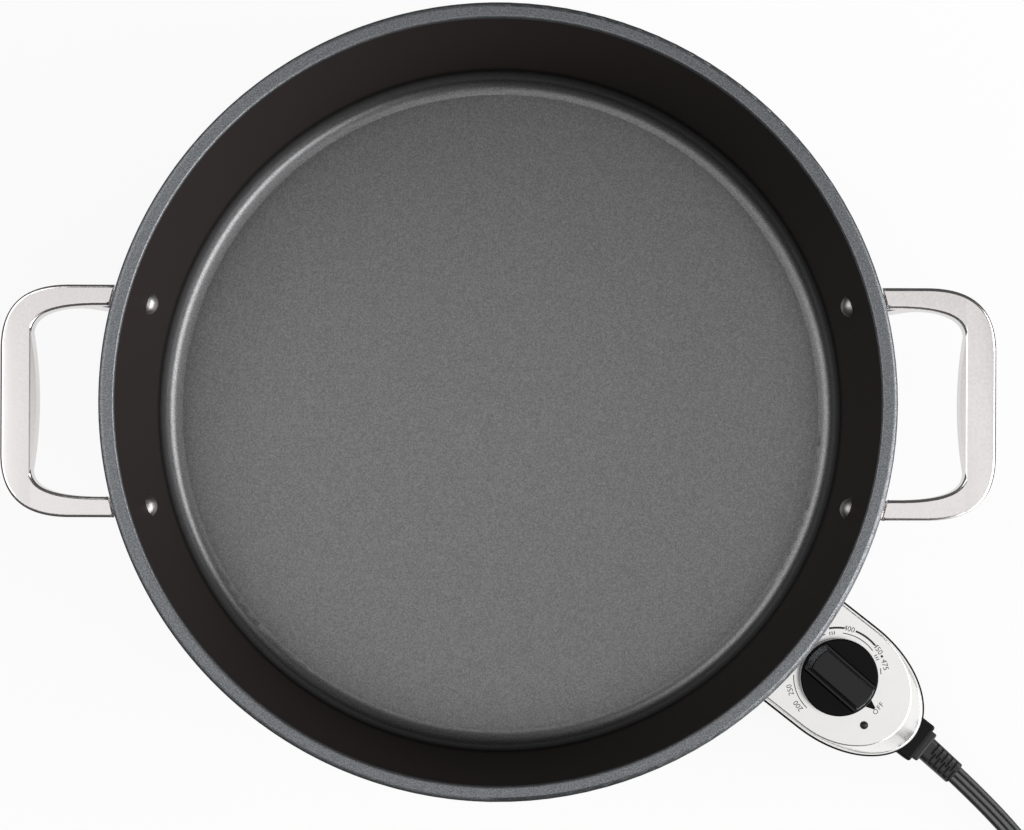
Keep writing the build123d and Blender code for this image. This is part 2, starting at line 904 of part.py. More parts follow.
def make_cover():
    """Bright metal cover: a lip, sloping sides and a flat top."""
    lip_top = seam_z + cover_lip_height
    lip = prism(inset_outline(0, housing_back), seam_z, lip_top)
    low = Pos(0, 0, lip_top) * inset_outline(cover_lip, housing_back)
    high = Pos(0, 0, cover_top) * nose_outline(plateau_half_width, plateau_nose, housing_back)
    dome = loft([low, high], ruled=True)
    top_edges = dome.edges().group_by(Axis.Z)[-1].sort_by(Axis.X)
    dome = fillet(top_edges[1:], cover_edge_radius)
    ceiling = cover_top - cover_top_thickness
    inner_back = housing_back + cover_wall
    inner_low = Pos(0, 0, seam_z) * inset_outline(cover_lip + cover_wall, inner_back)
    inner_high = nose_outline(plateau_half_width - cover_wall, plateau_nose - cover_wall, inner_back)
    cavity = loft([inner_low, Pos(0, 0, ceiling) * inner_high], ruled=True)
    cover = lip + dome - cavity
    screw_top = housing_bottom + housing_screw_sink + housing_screw_length
    for u, v in housing_posts():
        cover = cover + post(u, v, seam_z, ceiling, post_radius)
        cover = cover - post(u, v, seam_z, screw_top, housing_screw_radius)
    shaft_hole = shaft_radius + shaft_hole_clearance
    cover = cover - post(knob_axis, 0, ceiling, cover_top, shaft_hole)
    cover = cover - post(lens_u, lens_v, ceiling, cover_top, bezel_radius)
    keep_control("control_cover", cover)


def outlet_block(start, end, width, height, edge_radius):
    """Block round the cord's line, rounded on every edge but those of its first face."""
    half = width / 2
    shape = block((start, end), (-half, half), (cord_z - height / 2, cord_z + height / 2))
    start_edges = shape.edges().group_by(Axis.X)[0]
    return fillet([edge for edge in shape.edges() if edge not in start_edges], edge_radius)


def make_base():
    """Black moulded base with its cord outlet, screw posts and plate posts."""
    body = prism(inset_outline(base_inset, housing_back), housing_bottom, seam_z)
    body = body + outlet_block(outlet_start, outlet_end, outlet_width, outlet_height, outlet_edge_radius)
    body = fillet(body.edges().group_by(Axis.Z)[0], base_edge_radius)
    floor = housing_bottom + base_floor
    cavity = prism(inset_outline(base_inset + base_wall, housing_back + base_wall), floor, seam_z)
    body = body - cavity
    for u, v in housing_posts():
        body = body + post(u, v, floor, seam_z, post_radius)
        sink_top = housing_bottom + housing_screw_sink
        body = body - post(u, v, housing_bottom, sink_top, housing_screw_head_radius)
        body = body - post(u, v, housing_bottom, seam_z, housing_screw_radius)
    for u, v in plate_posts():
        body = body + post(u, v, floor, plate_bottom, plate_post_radius)
        body = body + post(u, v, plate_bottom, plate_top + plate_spigot_height, plate_spigot_radius)
    body = body - block(
        (housing_back, housing_back + base_wall),
        (-snout_half_width, snout_half_width),
        (snout_bottom, seam_z),
    )
    room_radius = relief_inner_flange_radius
    flange_room = rod((relief_inner_end, 0, cord_z), (outlet_start, 0, cord_z), room_radius)
    neck_room = rod((outlet_start, 0, cord_z), (outlet_end, 0, cord_z), relief_neck_radius)
    keep_control("control_base", body - neck_room - flange_room)


def make_housing_screws():
    """Screws from below that hold base and cover together."""
    screws = []
    seat = housing_bottom + housing_screw_sink
    for u, v in housing_posts():
        head = post(u, v, seat - housing_screw_head_height, seat, housing_screw_head_radius)
        screws.append(head + post(u, v, seat, seat + housing_screw_length, housing_screw_radius))
    keep_control("housing_screws", Compound(screws))


# ---------------------------------------------------------------- terminals and probe


def make_snout():
    """Terminal block with its two sleeves, and the probe that runs through it."""
    side = (-snout_half_width, snout_half_width)
    body = block((snout_tip, snout_inner_end), side, (snout_bottom, snout_top))
    front = body.faces().sort_by(Axis.X)[0]
    body = fillet(front.edges(), snout_edge_radius)
    body = body + block(
        (snout_inner_end - snout_flange_length, snout_inner_end),
        (-snout_lip_half, snout_lip_half),
        (snout_bottom - snout_flange_lip, snout_top),
    )
    body = body - rod((snout_tip, 0, element_z), (snout_inner_end, 0, element_z), probe_radius)
    sleeves = []
    for v in (pin_v, -pin_v):
        bore = rod((snout_tip, v, element_z), (snout_inner_end, v, element_z), terminal_sleeve_radius)
        body = body - bore
        start = (sleeve_start, v, element_z)
        end = (sleeve_end, v, element_z)
        sleeve = rod(start, end, terminal_sleeve_radius) - rod(start, end, pin_radius + running_clearance)
        half_tab = terminal_tab_width / 2
        tab = block(
            (sleeve_end, terminal_tab_end),
            (v - half_tab, v + half_tab),
            (element_z - terminal_tab_thickness / 2, element_z + terminal_tab_thickness / 2),
        )
        sleeves.append(sleeve + tab)
    keep_control("terminal_block", body)
    keep_control("female_terminals", Compound([sleeve.solid() for sleeve in sleeves]))

    tube = rod((probe_tip + probe_radius, 0, element_z), (probe_tail, 0, element_z), probe_radius)
    tube = tube + Pos(probe_tip + probe_radius, 0, element_z) * Sphere(probe_radius)
    tube = tube + rod(
        (snout_inner_end, 0, element_z),
        (snout_inner_end + probe_flange_length, 0, element_z),
        probe_flange_radius,
    )
    bore_end = probe_tip + probe_end_wall
    tube = tube - rod((bore_end, 0, element_z), (probe_tail, 0, element_z), probe_bore_radius)
    keep_control("probe_tube", tube)
    keep_control("expansion_rod", rod((bore_end, 0, element_z), (tab_u, 0, element_z), rod_radius))


# ---------------------------------------------------------------- thermostat


def make_thermostat():
    """Thermostat plate with bushing, pivot, lever and contacts."""
    length = plate_end - plate_start
    width = plate_left - plate_right
    middle = Pos((plate_start + plate_end) / 2, (plate_left + plate_right) / 2)
    plate = prism(middle * RectangleRounded(length, width, plate_corner_radius), plate_bottom, plate_top)
    tab_end = tab_u + plate_thickness
    tab_top = element_z + tab_rise
    plate = plate + block((tab_u, tab_end), (-tab_half_width, tab_half_width), (plate_bottom, tab_top))
    for u, v in plate_posts():
        plate = plate - post(u, v, plate_bottom, plate_top, plate_spigot_radius)
    plate = plate - post(knob_axis, 0, plate_bottom, plate_top, bushing_radius)
    plate = plate - post(pivot_u, pivot_v, plate_bottom, plate_top, pivot_pin_radius)
    keep_control("thermostat_frame", plate)

    bushing = post(knob_axis, 0, plate_bottom - bushing_drop, plate_top, bushing_radius)
    bushing = bushing + post(knob_axis, 0, plate_top, bushing_top, bushing_flange_radius)
    bore = journal_radius + running_clearance
    keep_control(
        "shaft_bushing",
        bushing - post(knob_axis, 0, plate_bottom - bushing_drop, bushing_top, bore),
    )

    shoulder_top = cam_bottom - axial_gap / 2
    head_bottom = cam_top + axial_gap
    pin = post(pivot_u, pivot_v, plate_bottom, head_bottom, pivot_pin_radius)
    pin = pin + post(pivot_u, pivot_v, plate_top, shoulder_top, pivot_shoulder_radius)
    head_top = head_bottom + pivot_pin_head_height
    pin = pin + post(pivot_u, pivot_v, head_bottom, head_top, pivot_pin_head_radius)
    keep_control("pivot_pin", pin)

    pivot = (pivot_u, pivot_v)
    follower = (knob_axis - cam_start_radius - follower_gap - follower_radius, 0)
    width = 2 * follower_radius
    lever = post(*pivot, cam_bottom, cam_top, lever_hub_radius)
    lever = lever + link(pivot, follower, width, cam_bottom, cam_top)
    lever = lever + link(pivot, (contact_u, pivot_v), width, cam_bottom, cam_top)
    arm_side = pivot_v - follower_radius
    button = (contact_u, arm_side - contact_button_height, contact_z)
    lever = lever + rod(button, (contact_u, pivot_v, contact_z), contact_button_radius)
    lever = lever - post(*pivot, cam_bottom, cam_top, pivot_pin_radius + running_clearance)
    keep_control("contact_arm", lever)

    half = fixed_contact_length / 2
    fixed = block(
        (contact_u - half, contact_u + half),
        (fixed_block_v - fixed_contact_depth, fixed_block_v),
        (cam_bottom, cam_bottom + fixed_contact_height),
    )
    fixed = fixed + rod(
        (contact_u, spacer_v, contact_z),
        (contact_u, fixed_contact_v, contact_z),
        contact_button_radius,
    )
    keep_control("fixed_contact", fixed)
    keep_control(
        "ceramic_spacer",
        post(contact_u, spacer_v, plate_top, cam_bottom, spacer_radius),
    )


# ---------------------------------------------------------------- knob and adjuster


def cam_outline():
    """Spiral that rises evenly over the knob's travel, closed by a short ramp."""
    spiral = []
    for n in range(cam_points + 1):
        share = n / cam_points
        radius = cam_start_radius + cam_rise * share
        angle = math.radians(cam_start_angle + cam_sweep * share)
        spiral.append((radius * math.cos(angle), radius * math.sin(angle)))
    return make_face([Spline(*spiral), Line(spiral[-1], spiral[0])])


def shaft_section(radius):
    """Round section with one flat, for the shaft and the bores that take it."""
    flat = Pos(shaft_flat + radius, 0) * Rectangle(2 * radius, 2 * radius)
    return Circle(radius) - flat


def make_adjuster():
    """Knob, shaft, cam and retaining clip, which turn together."""
    axis = Pos(knob_axis, 0)
    shaft = post(knob_axis, 0, plate_bottom - bushing_drop, collar_bottom, journal_radius)
    shaft = shaft + post(knob_axis, 0, collar_bottom, cam_bottom, collar_radius)
    shaft = shaft + prism(axis * shaft_section(shaft_radius), cam_bottom, shaft_top)
    clip_top = cover_top - cover_top_thickness - axial_gap
    clip_bottom = clip_top - clip_thickness
    groove = Circle(2 * shaft_radius) - Circle(clip_groove_radius)
    shaft = shaft - prism(axis * groove, clip_bottom, clip_top)
    keep_control("adjuster_shaft", shaft)

    mouth = Pos(-clip_radius, 0) * Rectangle(2 * clip_radius, clip_mouth)
    clip = Circle(clip_radius) - Circle(clip_groove_radius) - mouth
    keep_control("shaft_clip", prism(axis * clip, clip_bottom, clip_top))

    cam = cam_outline() - shaft_section(shaft_radius)
    keep_control("adjuster_cam", prism(axis * cam, cam_bottom, cam_top))

    skirt = Cylinder(knob_radius, knob_skirt_height, align=(Align.CENTER, Align.CENTER, Align.MIN))
    skirt = Pos(0, 0, knob_bottom) * skirt
    skirt = fillet(skirt.edges().group_by(Axis.Z)[-1], knob_skirt_edge_radius)
    bar_foot = skirt_top - knob_skirt_edge_radius
    ledge = skirt_top + knob_ledge_height
    flank = [
        (knob_bar_foot_half, bar_foot),
        (knob_ledge_half, ledge),
        (knob_waist_half, ledge),
        (knob_crest_half, knob_top),
    ]
    section = polygon(flank + [(-y, z) for y, z in reversed(flank)])
    reach = knob_radius - knob_bar_setback
    ends = spun([(0, bar_foot), (reach, bar_foot), (reach - knob_bar_end_slope, knob_top), (0, knob_top)])
    bar = extrude(Plane.YZ * section, knob_radius, both=True) & ends
    bar = fillet(bar.edges().group_by(Axis.Z)[-1], knob_bar_edge_radius)
    tip = knob_radius + pointer_length
    root = knob_radius - pointer_root
    pointer = polygon(
        [
            (root, -pointer_half_width),
            (tip, -pointer_tip_half_width),
            (tip, pointer_tip_half_width),
            (root, pointer_half_width),
        ]
    )
    pointer = prism(pointer, knob_bottom, knob_bottom + pointer_height)
    recess = prism(
        Circle(knob_radius - knob_skirt_wall) - Circle(knob_recess_inner),
        knob_bottom,
        knob_bottom + knob_recess_depth,
    )
    knob = skirt + Rot(0, 0, knob_bar_turn) * (bar + pointer) - recess
    knob = knob - prism(shaft_section(shaft_radius), knob_bottom, shaft_top)
    keep_control("control_knob", Pos(knob_axis, 0, 0) * knob)


# ---------------------------------------------------------------- lamp and wires


def make_lamp():
    """Lens in its ring, with the neon lamp below it."""
    bezel_bottom = cover_top - bezel_drop
    lens_top = cover_top + lens_crown
    bezel = post(lens_u, lens_v, bezel_bottom, cover_top + bezel_crown, bezel_radius)
    keep_control("lens_bezel", bezel - post(lens_u, lens_v, bezel_bottom, lens_top, lens_radius))
    lens = post(lens_u, lens_v, bezel_bottom, lens_top, lens_radius)
    lens = fillet(lens.edges().group_by(Axis.Z)[-1], lens_crown)
    keep_control("indicator_lens", lens)
    lamp_bottom = bezel_bottom - lamp_length
    lamp = post(lens_u, lens_v, lamp_bottom, bezel_bottom, lamp_radius)
    for offset in (-lamp_lead_spacing / 2, lamp_lead_spacing / 2):
        v = lens_v + offset
        lamp = lamp + post(lens_u, v, lamp_bottom - lamp_lead_length, lamp_bottom, lamp_lead_radius)
    keep_control("neon_lamp", lamp)


def wire(points):
    """Insulated lead through points, with even bends."""
    path = FilletPolyline(*points, radius=wire_bend_radius)
    section = Plane(origin=path @ 0, z_dir=path % 0) * Circle(wire_radius)
    return sweep(section, path=path)


def make_wires():
    """Leads from the cord to the contact, the terminals and the plate."""
    contact_end = contact_u + fixed_contact_length / 2
    lane = post_radius + wire_radius + wire_lane_gap
    side_lane = back_post_v - post_radius
    side_z = cord_z + wire_side_rise
    low_z = cord_z - wire_drop
    drop_u = plate_end - wire_turn_run
    turn_u = terminal_tab_end + wire_turn_run
    wires = [
        wire(
            [
                (relief_inner_end, wire_spread, cord_z),
                (relief_inner_end - wire_turn_run, lane + wire_radius, cord_z),
                (contact_end + wire_end_run, spacer_v + wire_radius, contact_z),
                (contact_end, spacer_v + wire_radius, contact_z),
            ]
        ),
        wire(
            [
                (relief_inner_end, -wire_spread, cord_z),
                (relief_inner_end - wire_turn_run, wire_side_rise - side_lane, side_z),
                (knob_axis - wire_turn_run, -side_lane, side_z),
                (terminal_tab_end + wire_end_run, -pin_v, element_z),
                (terminal_tab_end, -pin_v, element_z),
            ]
        ),
        wire(
            [
                (terminal_tab_end, pin_v, element_z),
                (turn_u, pin_v, element_z),
                (turn_u, pin_v, plate_top),
            ]
        ),
        wire(
            [
                (relief_inner_end, 0, low_z),
                (relief_inner_end - wire_turn_run, -lane, low_z - wire_radius),
                (drop_u + wire_end_run, -lane - wire_radius, low_z - wire_radius),
                (drop_u, -lane - wire_radius, plate_top),
            ]
        ),
    ]
    seats = [parts["strain_relief"], parts["thermostat_frame"]]
    keep("lead_wires", Compound([(to_control(lead) - seats).solid() for lead in wires]))


# ---------------------------------------------------------------- cord


def relief_sleeve():
    """Tapered sleeve along its own X axis, grooved from both sides in turn."""
    across = Plane(origin=(-relief_overlap, 0, 0), x_dir=(0, 1, 0), z_dir=(1, 0, 0))
    root = across * RectangleRounded(relief_root_width, relief_root_height, relief_corner_radius)
    across = across.offset(relief_overlap + relief_sleeve_length)
    end = across * RectangleRounded(relief_end_width, relief_end_height, relief_corner_radius)
    sleeve = loft([root, end], ruled=True)
    outside = relief_root_width
    for n in range(relief_groove_count):
        left = relief_groove_start + n * relief_groove_pitch
        right = left + relief_groove_pitch / 2
        groove_floor = relief_end_height / 2 - relief_groove_depth
        for low, high in ((groove_floor, outside), (-outside, -groove_floor)):
            for x, sides in (
                (left, (-relief_groove_past_middle, outside)),
                (right, (-outside, relief_groove_past_middle)),
            ):
                across_x = (x - relief_groove_width / 2, x + relief_groove_width / 2)
                sleeve = sleeve - block(across_x, sides, (low, high))
        sleeve = sleeve - block(
            (left - relief_window_width / 2, left + relief_window_width / 2),
            (relief_window_start, relief_window_end),
            (-outside, outside),
        )
    return sleeve


def make_strain_relief():
    """Ribbed strain relief: inner flange, neck, outer flange and grooved sleeve."""
    flange_radius = relief_inner_flange_radius
    inner = rod((relief_inner_end, 0, cord_z), (outlet_start, 0, cord_z), flange_radius)
    neck = rod((outlet_start, 0, cord_z), (outlet_end, 0, cord_z), relief_neck_radius)
    flange = outlet_block(
        outlet_end,
        relief_start,
        relief_flange_width,
        relief_flange_height,
        relief_flange_edge_radius,
    )
    sleeve = Pos(relief_start, 0, cord_z) * Rot(0, 0, relief_turn) * relief_sleeve()
    keep_control("strain_relief", inner + neck + flange + sleeve)


def arc_radii(points):
    """Largest even arc at each corner of a route: a share of the shorter run over tan(half turn)."""
    radii = []
    for before, here, after in zip(points, points[1:], points[2:]):
        arriving = Vector(*here) - Vector(*before)
        leaving = Vector(*after) - Vector(*here)
        half = math.radians(arriving.get_angle(leaving)) / 2
        radii.append(run_share * min(arriving.length, leaving.length) / math.tan(half))
    return radii


def cord_tube(name, points):
    """Round tube along a route of straight runs and tangent arcs."""
    radii = arc_radii(points)
    path = FilletPolyline(*points, radius=radii)
    tube = sweep(Plane(origin=path @ 0, z_dir=path % 0) * Circle(cord_radius), path=path)
    section = math.pi * cord_radius**2
    print(name, "arc radii", [round(radius) for radius in radii], "length", round(path.length, 1))
    print(name, "volume over section times length", round(tube.volume / (section * path.length), 4))
    return tube


def make_cord():
    """Cord from the strain relief to the plug, with its coil and tie."""
    half = coil_width / 2
    inner = coil_radius - half
    outer = coil_radius + half
    section = [(inner, coil_bottom), (outer, coil_bottom), (outer, coil_top), (inner, coil_top)]
    ring = spun(section, [(r, z, coil_edge_radius) for r, z in section])
    ring = Pos(*coil_centre, 0) * ring
    keep("cord_coil", ring)

    cord_exit = Vector(relief_end, relief_end_v, cord_z).rotate(Axis.Z, control_azimuth)
    lead = cord_tube("cord_lead", [tuple(cord_exit), *lead_points]) - ring - parts["strain_relief"]
    keep("cord_lead", max(lead.solids(), key=lambda solid: solid.volume))
    tail = cord_tube("cord_tail", tail_points) - ring - parts["plug_body"]
    keep("cord_tail", max(tail.solids(), key=lambda solid: solid.volume))

    tie_span = coil_width + 2 * tie_thickness
    tie_height = coil_top + tie_thickness
    tie = Pos(coil_radius, 0, tie_height / 2) * Box(tie_span, tie_width, tie_height)
    tie = Pos(*coil_centre, 0) * (Rot(0, 0, tie_angle) * tie)
    keep("cord_tie", tie - ring)


def make_plug():
    """Three-pin plug at the cord's end, its face away from the cord."""
    before = Vector(*tail_points[-2])
    end = Vector(*tail_points[-1])
    heading = math.degrees(math.atan2(end.Y - before.Y, end.X - before.X))
    place = Pos(end.X, end.Y, end.Z) * Rot(0, 0, heading)

    def across(x):
        return Plane(origin=(x, 0, 0), x_dir=(0, 1, 0), z_dir=(1, 0, 0))

    face = plug_tail_length + plug_length
    shoulder = face - plug_face_length
    back = RectangleRounded(plug_back_width, plug_back_height, plug_corner_radius)
    back = across(plug_tail_length) * back
    front = across(shoulder) * RectangleRounded(plug_width, plug_height, plug_corner_radius)
    head = extrude(front, plug_face_length)
    head = fillet(head.faces().sort_by(Axis.X)[-1].edges(), plug_edge_radius)
    body = loft([back, front], ruled=True) + head
    tail = extrude(across(0) * Circle(plug_tail_radius), plug_tail_length)
    body = body + tail
    blades = []
    for side in (-1, 1):
        z = side * blade_spacing / 2
        blade = block(
            (face - blade_root, face + blade_length),
            (blade_offset - blade_width / 2, blade_offset + blade_width / 2),
            (z - blade_thickness / 2, z + blade_thickness / 2),
        )
        body = body - blade
        blades.append(place * blade)
    root = (face - blade_root, ground_offset, 0)
    ground = rod(root, (face + ground_length, ground_offset, 0), ground_radius)
    body = body - ground
    keep("plug_body", place * body)
    keep("plug_blades", Compound(blades))
    keep("plug_ground_pin", place * ground)


make_pan()
make_feet()
make_guard()
make_handles()
make_cover()
make_base()
make_housing_screws()
make_snout()
make_thermostat()
make_adjuster()
make_lamp()
make_strain_relief()
make_wires()
make_plug()
make_cord()

os.makedirs("parts", exist_ok=True)
for name, shape in parts.items():
    export_step(shape, f"parts/{name}.step")
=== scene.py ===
import math

import bmesh
import bpy
from bpy.props import FloatProperty, FloatVectorProperty, IntProperty, PointerProperty
from mathutils import Euler, Matrix, Vector


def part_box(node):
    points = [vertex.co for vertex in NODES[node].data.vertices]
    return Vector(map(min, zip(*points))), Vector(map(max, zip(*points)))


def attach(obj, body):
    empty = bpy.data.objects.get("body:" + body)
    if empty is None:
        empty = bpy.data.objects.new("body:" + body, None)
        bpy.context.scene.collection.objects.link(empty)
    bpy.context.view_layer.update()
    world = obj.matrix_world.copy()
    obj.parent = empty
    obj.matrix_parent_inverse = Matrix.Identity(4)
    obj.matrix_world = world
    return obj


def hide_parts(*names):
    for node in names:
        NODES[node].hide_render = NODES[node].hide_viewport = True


bl_info = {
    "name": "Electric skillet looks",
    "version": (1, 0, 0),
    "blender": (4, 5, 0),
    "location": "View3D > Sidebar > Skillet",
    "description": "Finishes, dial, cord and studio for an electric skillet with a probe control",
    "category": "Object",
}

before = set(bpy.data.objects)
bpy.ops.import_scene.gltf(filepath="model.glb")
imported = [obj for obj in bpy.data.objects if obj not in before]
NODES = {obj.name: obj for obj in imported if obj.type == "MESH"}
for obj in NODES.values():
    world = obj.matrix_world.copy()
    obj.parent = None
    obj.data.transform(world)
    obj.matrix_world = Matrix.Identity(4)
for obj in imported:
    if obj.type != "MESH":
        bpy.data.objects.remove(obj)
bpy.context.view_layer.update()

MM = 0.001


def centre_of(node):
    """Middle of a node's box at rest."""
    low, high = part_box(node)
    return (low + high) / 2


SHAFT_AXIS = centre_of("adjuster_shaft")
CONTROL_AZIMUTH = math.atan2(SHAFT_AXIS.y, SHAFT_AXIS.x)
CONTROL_AIM = (math.cos(CONTROL_AZIMUTH), math.sin(CONTROL_AZIMUTH))
COVER_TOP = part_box("control_cover")[1].z

# Route of the cord in metres: the lead to the coil, and the tail from the coil to the plug.
CORD_LEAD = [
    (0.21618, -0.16990, 0.0220),
    (0.2355, -0.1875, 0.0165),
    (0.2585, -0.2130, 0.0068),
    (0.2825, -0.2425, 0.0021),
    (0.3030, -0.2704, 0.0019),
]
CORD_TAIL = [
    (0.2577, -0.3475, 0.0106),
    (0.2354, -0.3463, 0.0108),
    (0.2134, -0.3423, 0.0109),
    (0.2016, -0.3392, 0.0110),
]
COIL_CENTRE = (0.2620, -0.2982)
COIL_START = math.radians(34.0)
COIL_END = math.radians(-95.0)


# ------------------------------------------------------------------ settings


def srgb(code):
    """Linear red, green and blue of an sRGB hex colour."""
    values = [int(code[n : n + 2], 16) / 255 for n in (0, 2, 4)]
    return tuple(v / 12.92 if v <= 0.04045 else ((v + 0.055) / 1.055) ** 2.4 for v in values)


def colour(name, text, code):
    """Colour property with an sRGB hex default."""
    limits = {"min": 0, "max": 1, "size": 3}
    return FloatVectorProperty(name=name, description=text, subtype="COLOR", default=srgb(code), **limits)


def length(name, text, millimetres):
    """Length property with its default in millimetres."""
    return FloatProperty(name=name, description=text, unit="LENGTH", min=0, default=millimetres * MM)


class SkilletSizes(bpy.types.PropertyGroup):
    """Sizes that shape the cord and the printed dial."""

    cord_width: length("Cord width", "Width of the flat three-core cord", 9.0)
    cord_lobe: length("Cord lobe", "Diameter of one core's ridge on the cord", 3.5)
    cord_length: length("Cord length", "Length from the strain relief to the plug", 930.0)
    coil_radius: length("Coil radius", "Radius of the coil at the middle of its turns", 49.5)
    coil_turns: IntProperty(name="Full turns", description="Whole turns in the coil", default=2)
    coil_steps: IntProperty(name="Points per turn", description="Route points a turn", default=16, min=12)
    outer_ring: length("Outer ring", "Radius of the dial's numbers and thick arcs", 22.8)
    inner_ring: length("Inner ring", "Radius of the dial's thin arcs", 20.4)
    number_height: length("Number height", "Height of the dial's figures", 2.5)
    off_radius: length("OFF radius", "Distance of the word OFF from the knob's axis", 24.3)
    off_height: length("OFF height", "Height of the word OFF", 2.3)
    thick_line: length("Thick line", "Width of the dial's thick arc", 0.95)
    thin_line: length("Thin line", "Width of the dial's thin arcs", 0.4)
    ink_thickness: length("Ink thickness", "How far the printed marks stand proud", 0.03)


class SkilletColours(bpy.types.PropertyGroup):
    """Colours of the finishes and the studio."""

    coating: colour("Coating", "Non-stick coating on the pan's floor", "6F6F70")
    flake: colour("Flake", "Pale flake in the coating", "888889")
    # The wall's darkness is painted shade for the dark room that the inner wall mirrors.
    wall: colour("Wall coating", "Warmer coating on the inner wall", "312C2B")
    outside: colour("Outside", "Coating of the rim and the outside", "696C6F")
    outside_flake: colour("Outside flake", "Pale flake in the outside coating", "8E9093")
    steel: colour("Steel", "Polished stainless steel", "E8E4E3")
    rivet: colour("Rivet", "Brushed steel of the rivets", "B4B2AF")
    cover: colour("Cover", "Polished cover of the control", "F6F5F4")
    phenolic: colour("Phenolic", "Moulded black phenolic", "0A0909")
    gloss: colour("Gloss plastic", "Glossy black plastic of the knob", "060608")
    ink: colour("Ink", "Printed dial marks", "101012")
    cord: colour("Cord", "PVC of the cord and plug", "161617")
    floor: colour("Floor", "Studio floor", "F2F2F2")


# ------------------------------------------------------------------ materials


def add(tree, kind, inputs=None, output=0, **properties):
    """Add a node with its properties set and its inputs filled or linked, and give one of its outputs."""
    made = tree.nodes.new(kind)
    for name, value in properties.items():
        setattr(made, name, value)
    for key, value in (inputs or {}).items():
        if isinstance(value, bpy.types.NodeSocket):
            tree.links.new(value, made.inputs[key])
        else:
            made.inputs[key].default_value = value
    return made.outputs[output]


# A mix of two colours takes its factor as input 0 and the colours as inputs 6 and 7. A map range
# takes the value as input 0, its limits as inputs 1 and 2, and what they become as inputs 3 and 4.
COLOUR_MIX = {"kind": "ShaderNodeMix", "output": 2, "data_type": "RGBA"}
BLACK = (0.0, 0.0, 0.0, 1.0)
WHITE = (1.0, 1.0, 1.0, 1.0)
# Most spots of the noise lie between these two values.
GRAIN_LOW = 0.3
GRAIN_HIGH = 0.7


def rgba(values):
    """Colour with full alpha."""
    return (*values, 1.0)


def begin(name):
    """New material with its tree and its shader, ready to be filled."""
    material = bpy.data.materials.new(name)
    material.use_nodes = True
    tree = material.node_tree
    return material, tree, tree.nodes["Principled BSDF"]


def grain(tree, size, detail=2.0):
    """Noise whose spots are about a size in metres, on Object coordinates."""
    place = add(tree, "ShaderNodeTexCoord", output="Object")
    return add(tree, "ShaderNodeTexNoise", {"Vector": place, "Scale": 1 / size, "Detail": detail})


def cloudy_colour(tree, shader, size, darker, paler, detail=2.0):
    """Colour that drifts between two tints in spots of a size."""
    inputs = {0: grain(tree, size, detail), 6: rgba(darker), 7: rgba(paler)}
    shade = add(tree, inputs=inputs, **COLOUR_MIX)
    tree.links.new(shade, shader.inputs["Base Color"])


def cloudy_roughness(tree, shader, size, low, high, detail=2.0):
    """Roughness that drifts between two values in spots of a size."""
    inputs = {0: grain(tree, size, detail), 1: GRAIN_LOW, 2: GRAIN_HIGH, 3: low, 4: high}
    tree.links.new(add(tree, "ShaderNodeMapRange", inputs), shader.inputs["Roughness"])


def fine_relief(tree, shader, size, depth, strength):
    """Bumps of a real size and depth in metres."""
    inputs = {"Height": grain(tree, size), "Distance": depth, "Strength": strength}
    tree.links.new(add(tree, "ShaderNodeBump", inputs, "Normal"), shader.inputs["Normal"])


# The middle line of the pan's wall stands at this radius at table level, and leans outwards by the
# slope for each metre of height. Past it, over the blend's width, lies the coat of the outside.
WALL_RADIUS = 0.1539
WALL_SLOPE = math.tan(math.radians(6.2))
WALL_BLEND = (-0.8 * MM, 0.2 * MM)
# The outside's coat also covers the rim, from a little below its top.
RIM_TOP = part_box("pan_body")[1].z
RIM_BLEND = (-1.8 * MM, -1.2 * MM)
# The wall's warm coat, whose darkness is painted shade, has replaced the floor's at this radius.
WALL_FOOT = 0.1576
FOOT_BLEND = 2.0 * MM
# Just above the cove the wall is painted black as shade, up to this height, and it brightens above that.
WALL_SHADE_TOP = 0.0465
WALL_SHADE_BLEND = 7.0 * MM
# The coat is dullest on the outside, and gains this share of that dullness in the cove, which
# starts at this radius.
COVE_START = 0.1470
COVE_BLEND = 4.0 * MM
COVE_SHARE = 0.4
OUTSIDE_DULL = 0.16
COAT_ROUGHNESS = (0.27, 0.33)
COAT_GRAIN = 0.9 * MM
COAT_METALLIC = 0.94
COAT_SPECULAR = 0.006
FLAKE_SIZE = 0.6 * MM
FLAKE_RANGE = (0.36, 0.66)


def pan_regions(tree):
    """Radius and height of a spot on the pan, and its shares of the outside and of the inner wall."""
    place = add(tree, "ShaderNodeTexCoord", output="Object")
    level = add(tree, "ShaderNodeVectorMath", {0: place, 1: (1, 1, 0)}, operation="MULTIPLY")
    radius = add(tree, "ShaderNodeVectorMath", {0: level}, "Value", operation="LENGTH")
    height = add(tree, "ShaderNodeSeparateXYZ", {0: place}, "Z")
    upright = add(tree, "ShaderNodeMath", {0: height, 1: -WALL_SLOPE, 2: radius}, operation="MULTIPLY_ADD")
    near, far = WALL_BLEND
    past = add(tree, "ShaderNodeMapRange", {0: upright, 1: WALL_RADIUS + near, 2: WALL_RADIUS + far})
    low, high = RIM_BLEND
    on_rim = add(tree, "ShaderNodeMapRange", {0: height, 1: RIM_TOP + low, 2: RIM_TOP + high})
    outside = add(tree, "ShaderNodeMath", {0: past, 1: on_rim}, operation="MAXIMUM")
    climbs = add(tree, "ShaderNodeMapRange", {0: radius, 1: WALL_FOOT - FOOT_BLEND, 2: WALL_FOOT})
    inside = add(tree, "ShaderNodeMapRange", {0: outside, 3: 1.0, 4: 0.0})
    inner_wall = add(tree, "ShaderNodeMath", {0: climbs, 1: inside}, operation="MULTIPLY")
    return radius, height, outside, inner_wall


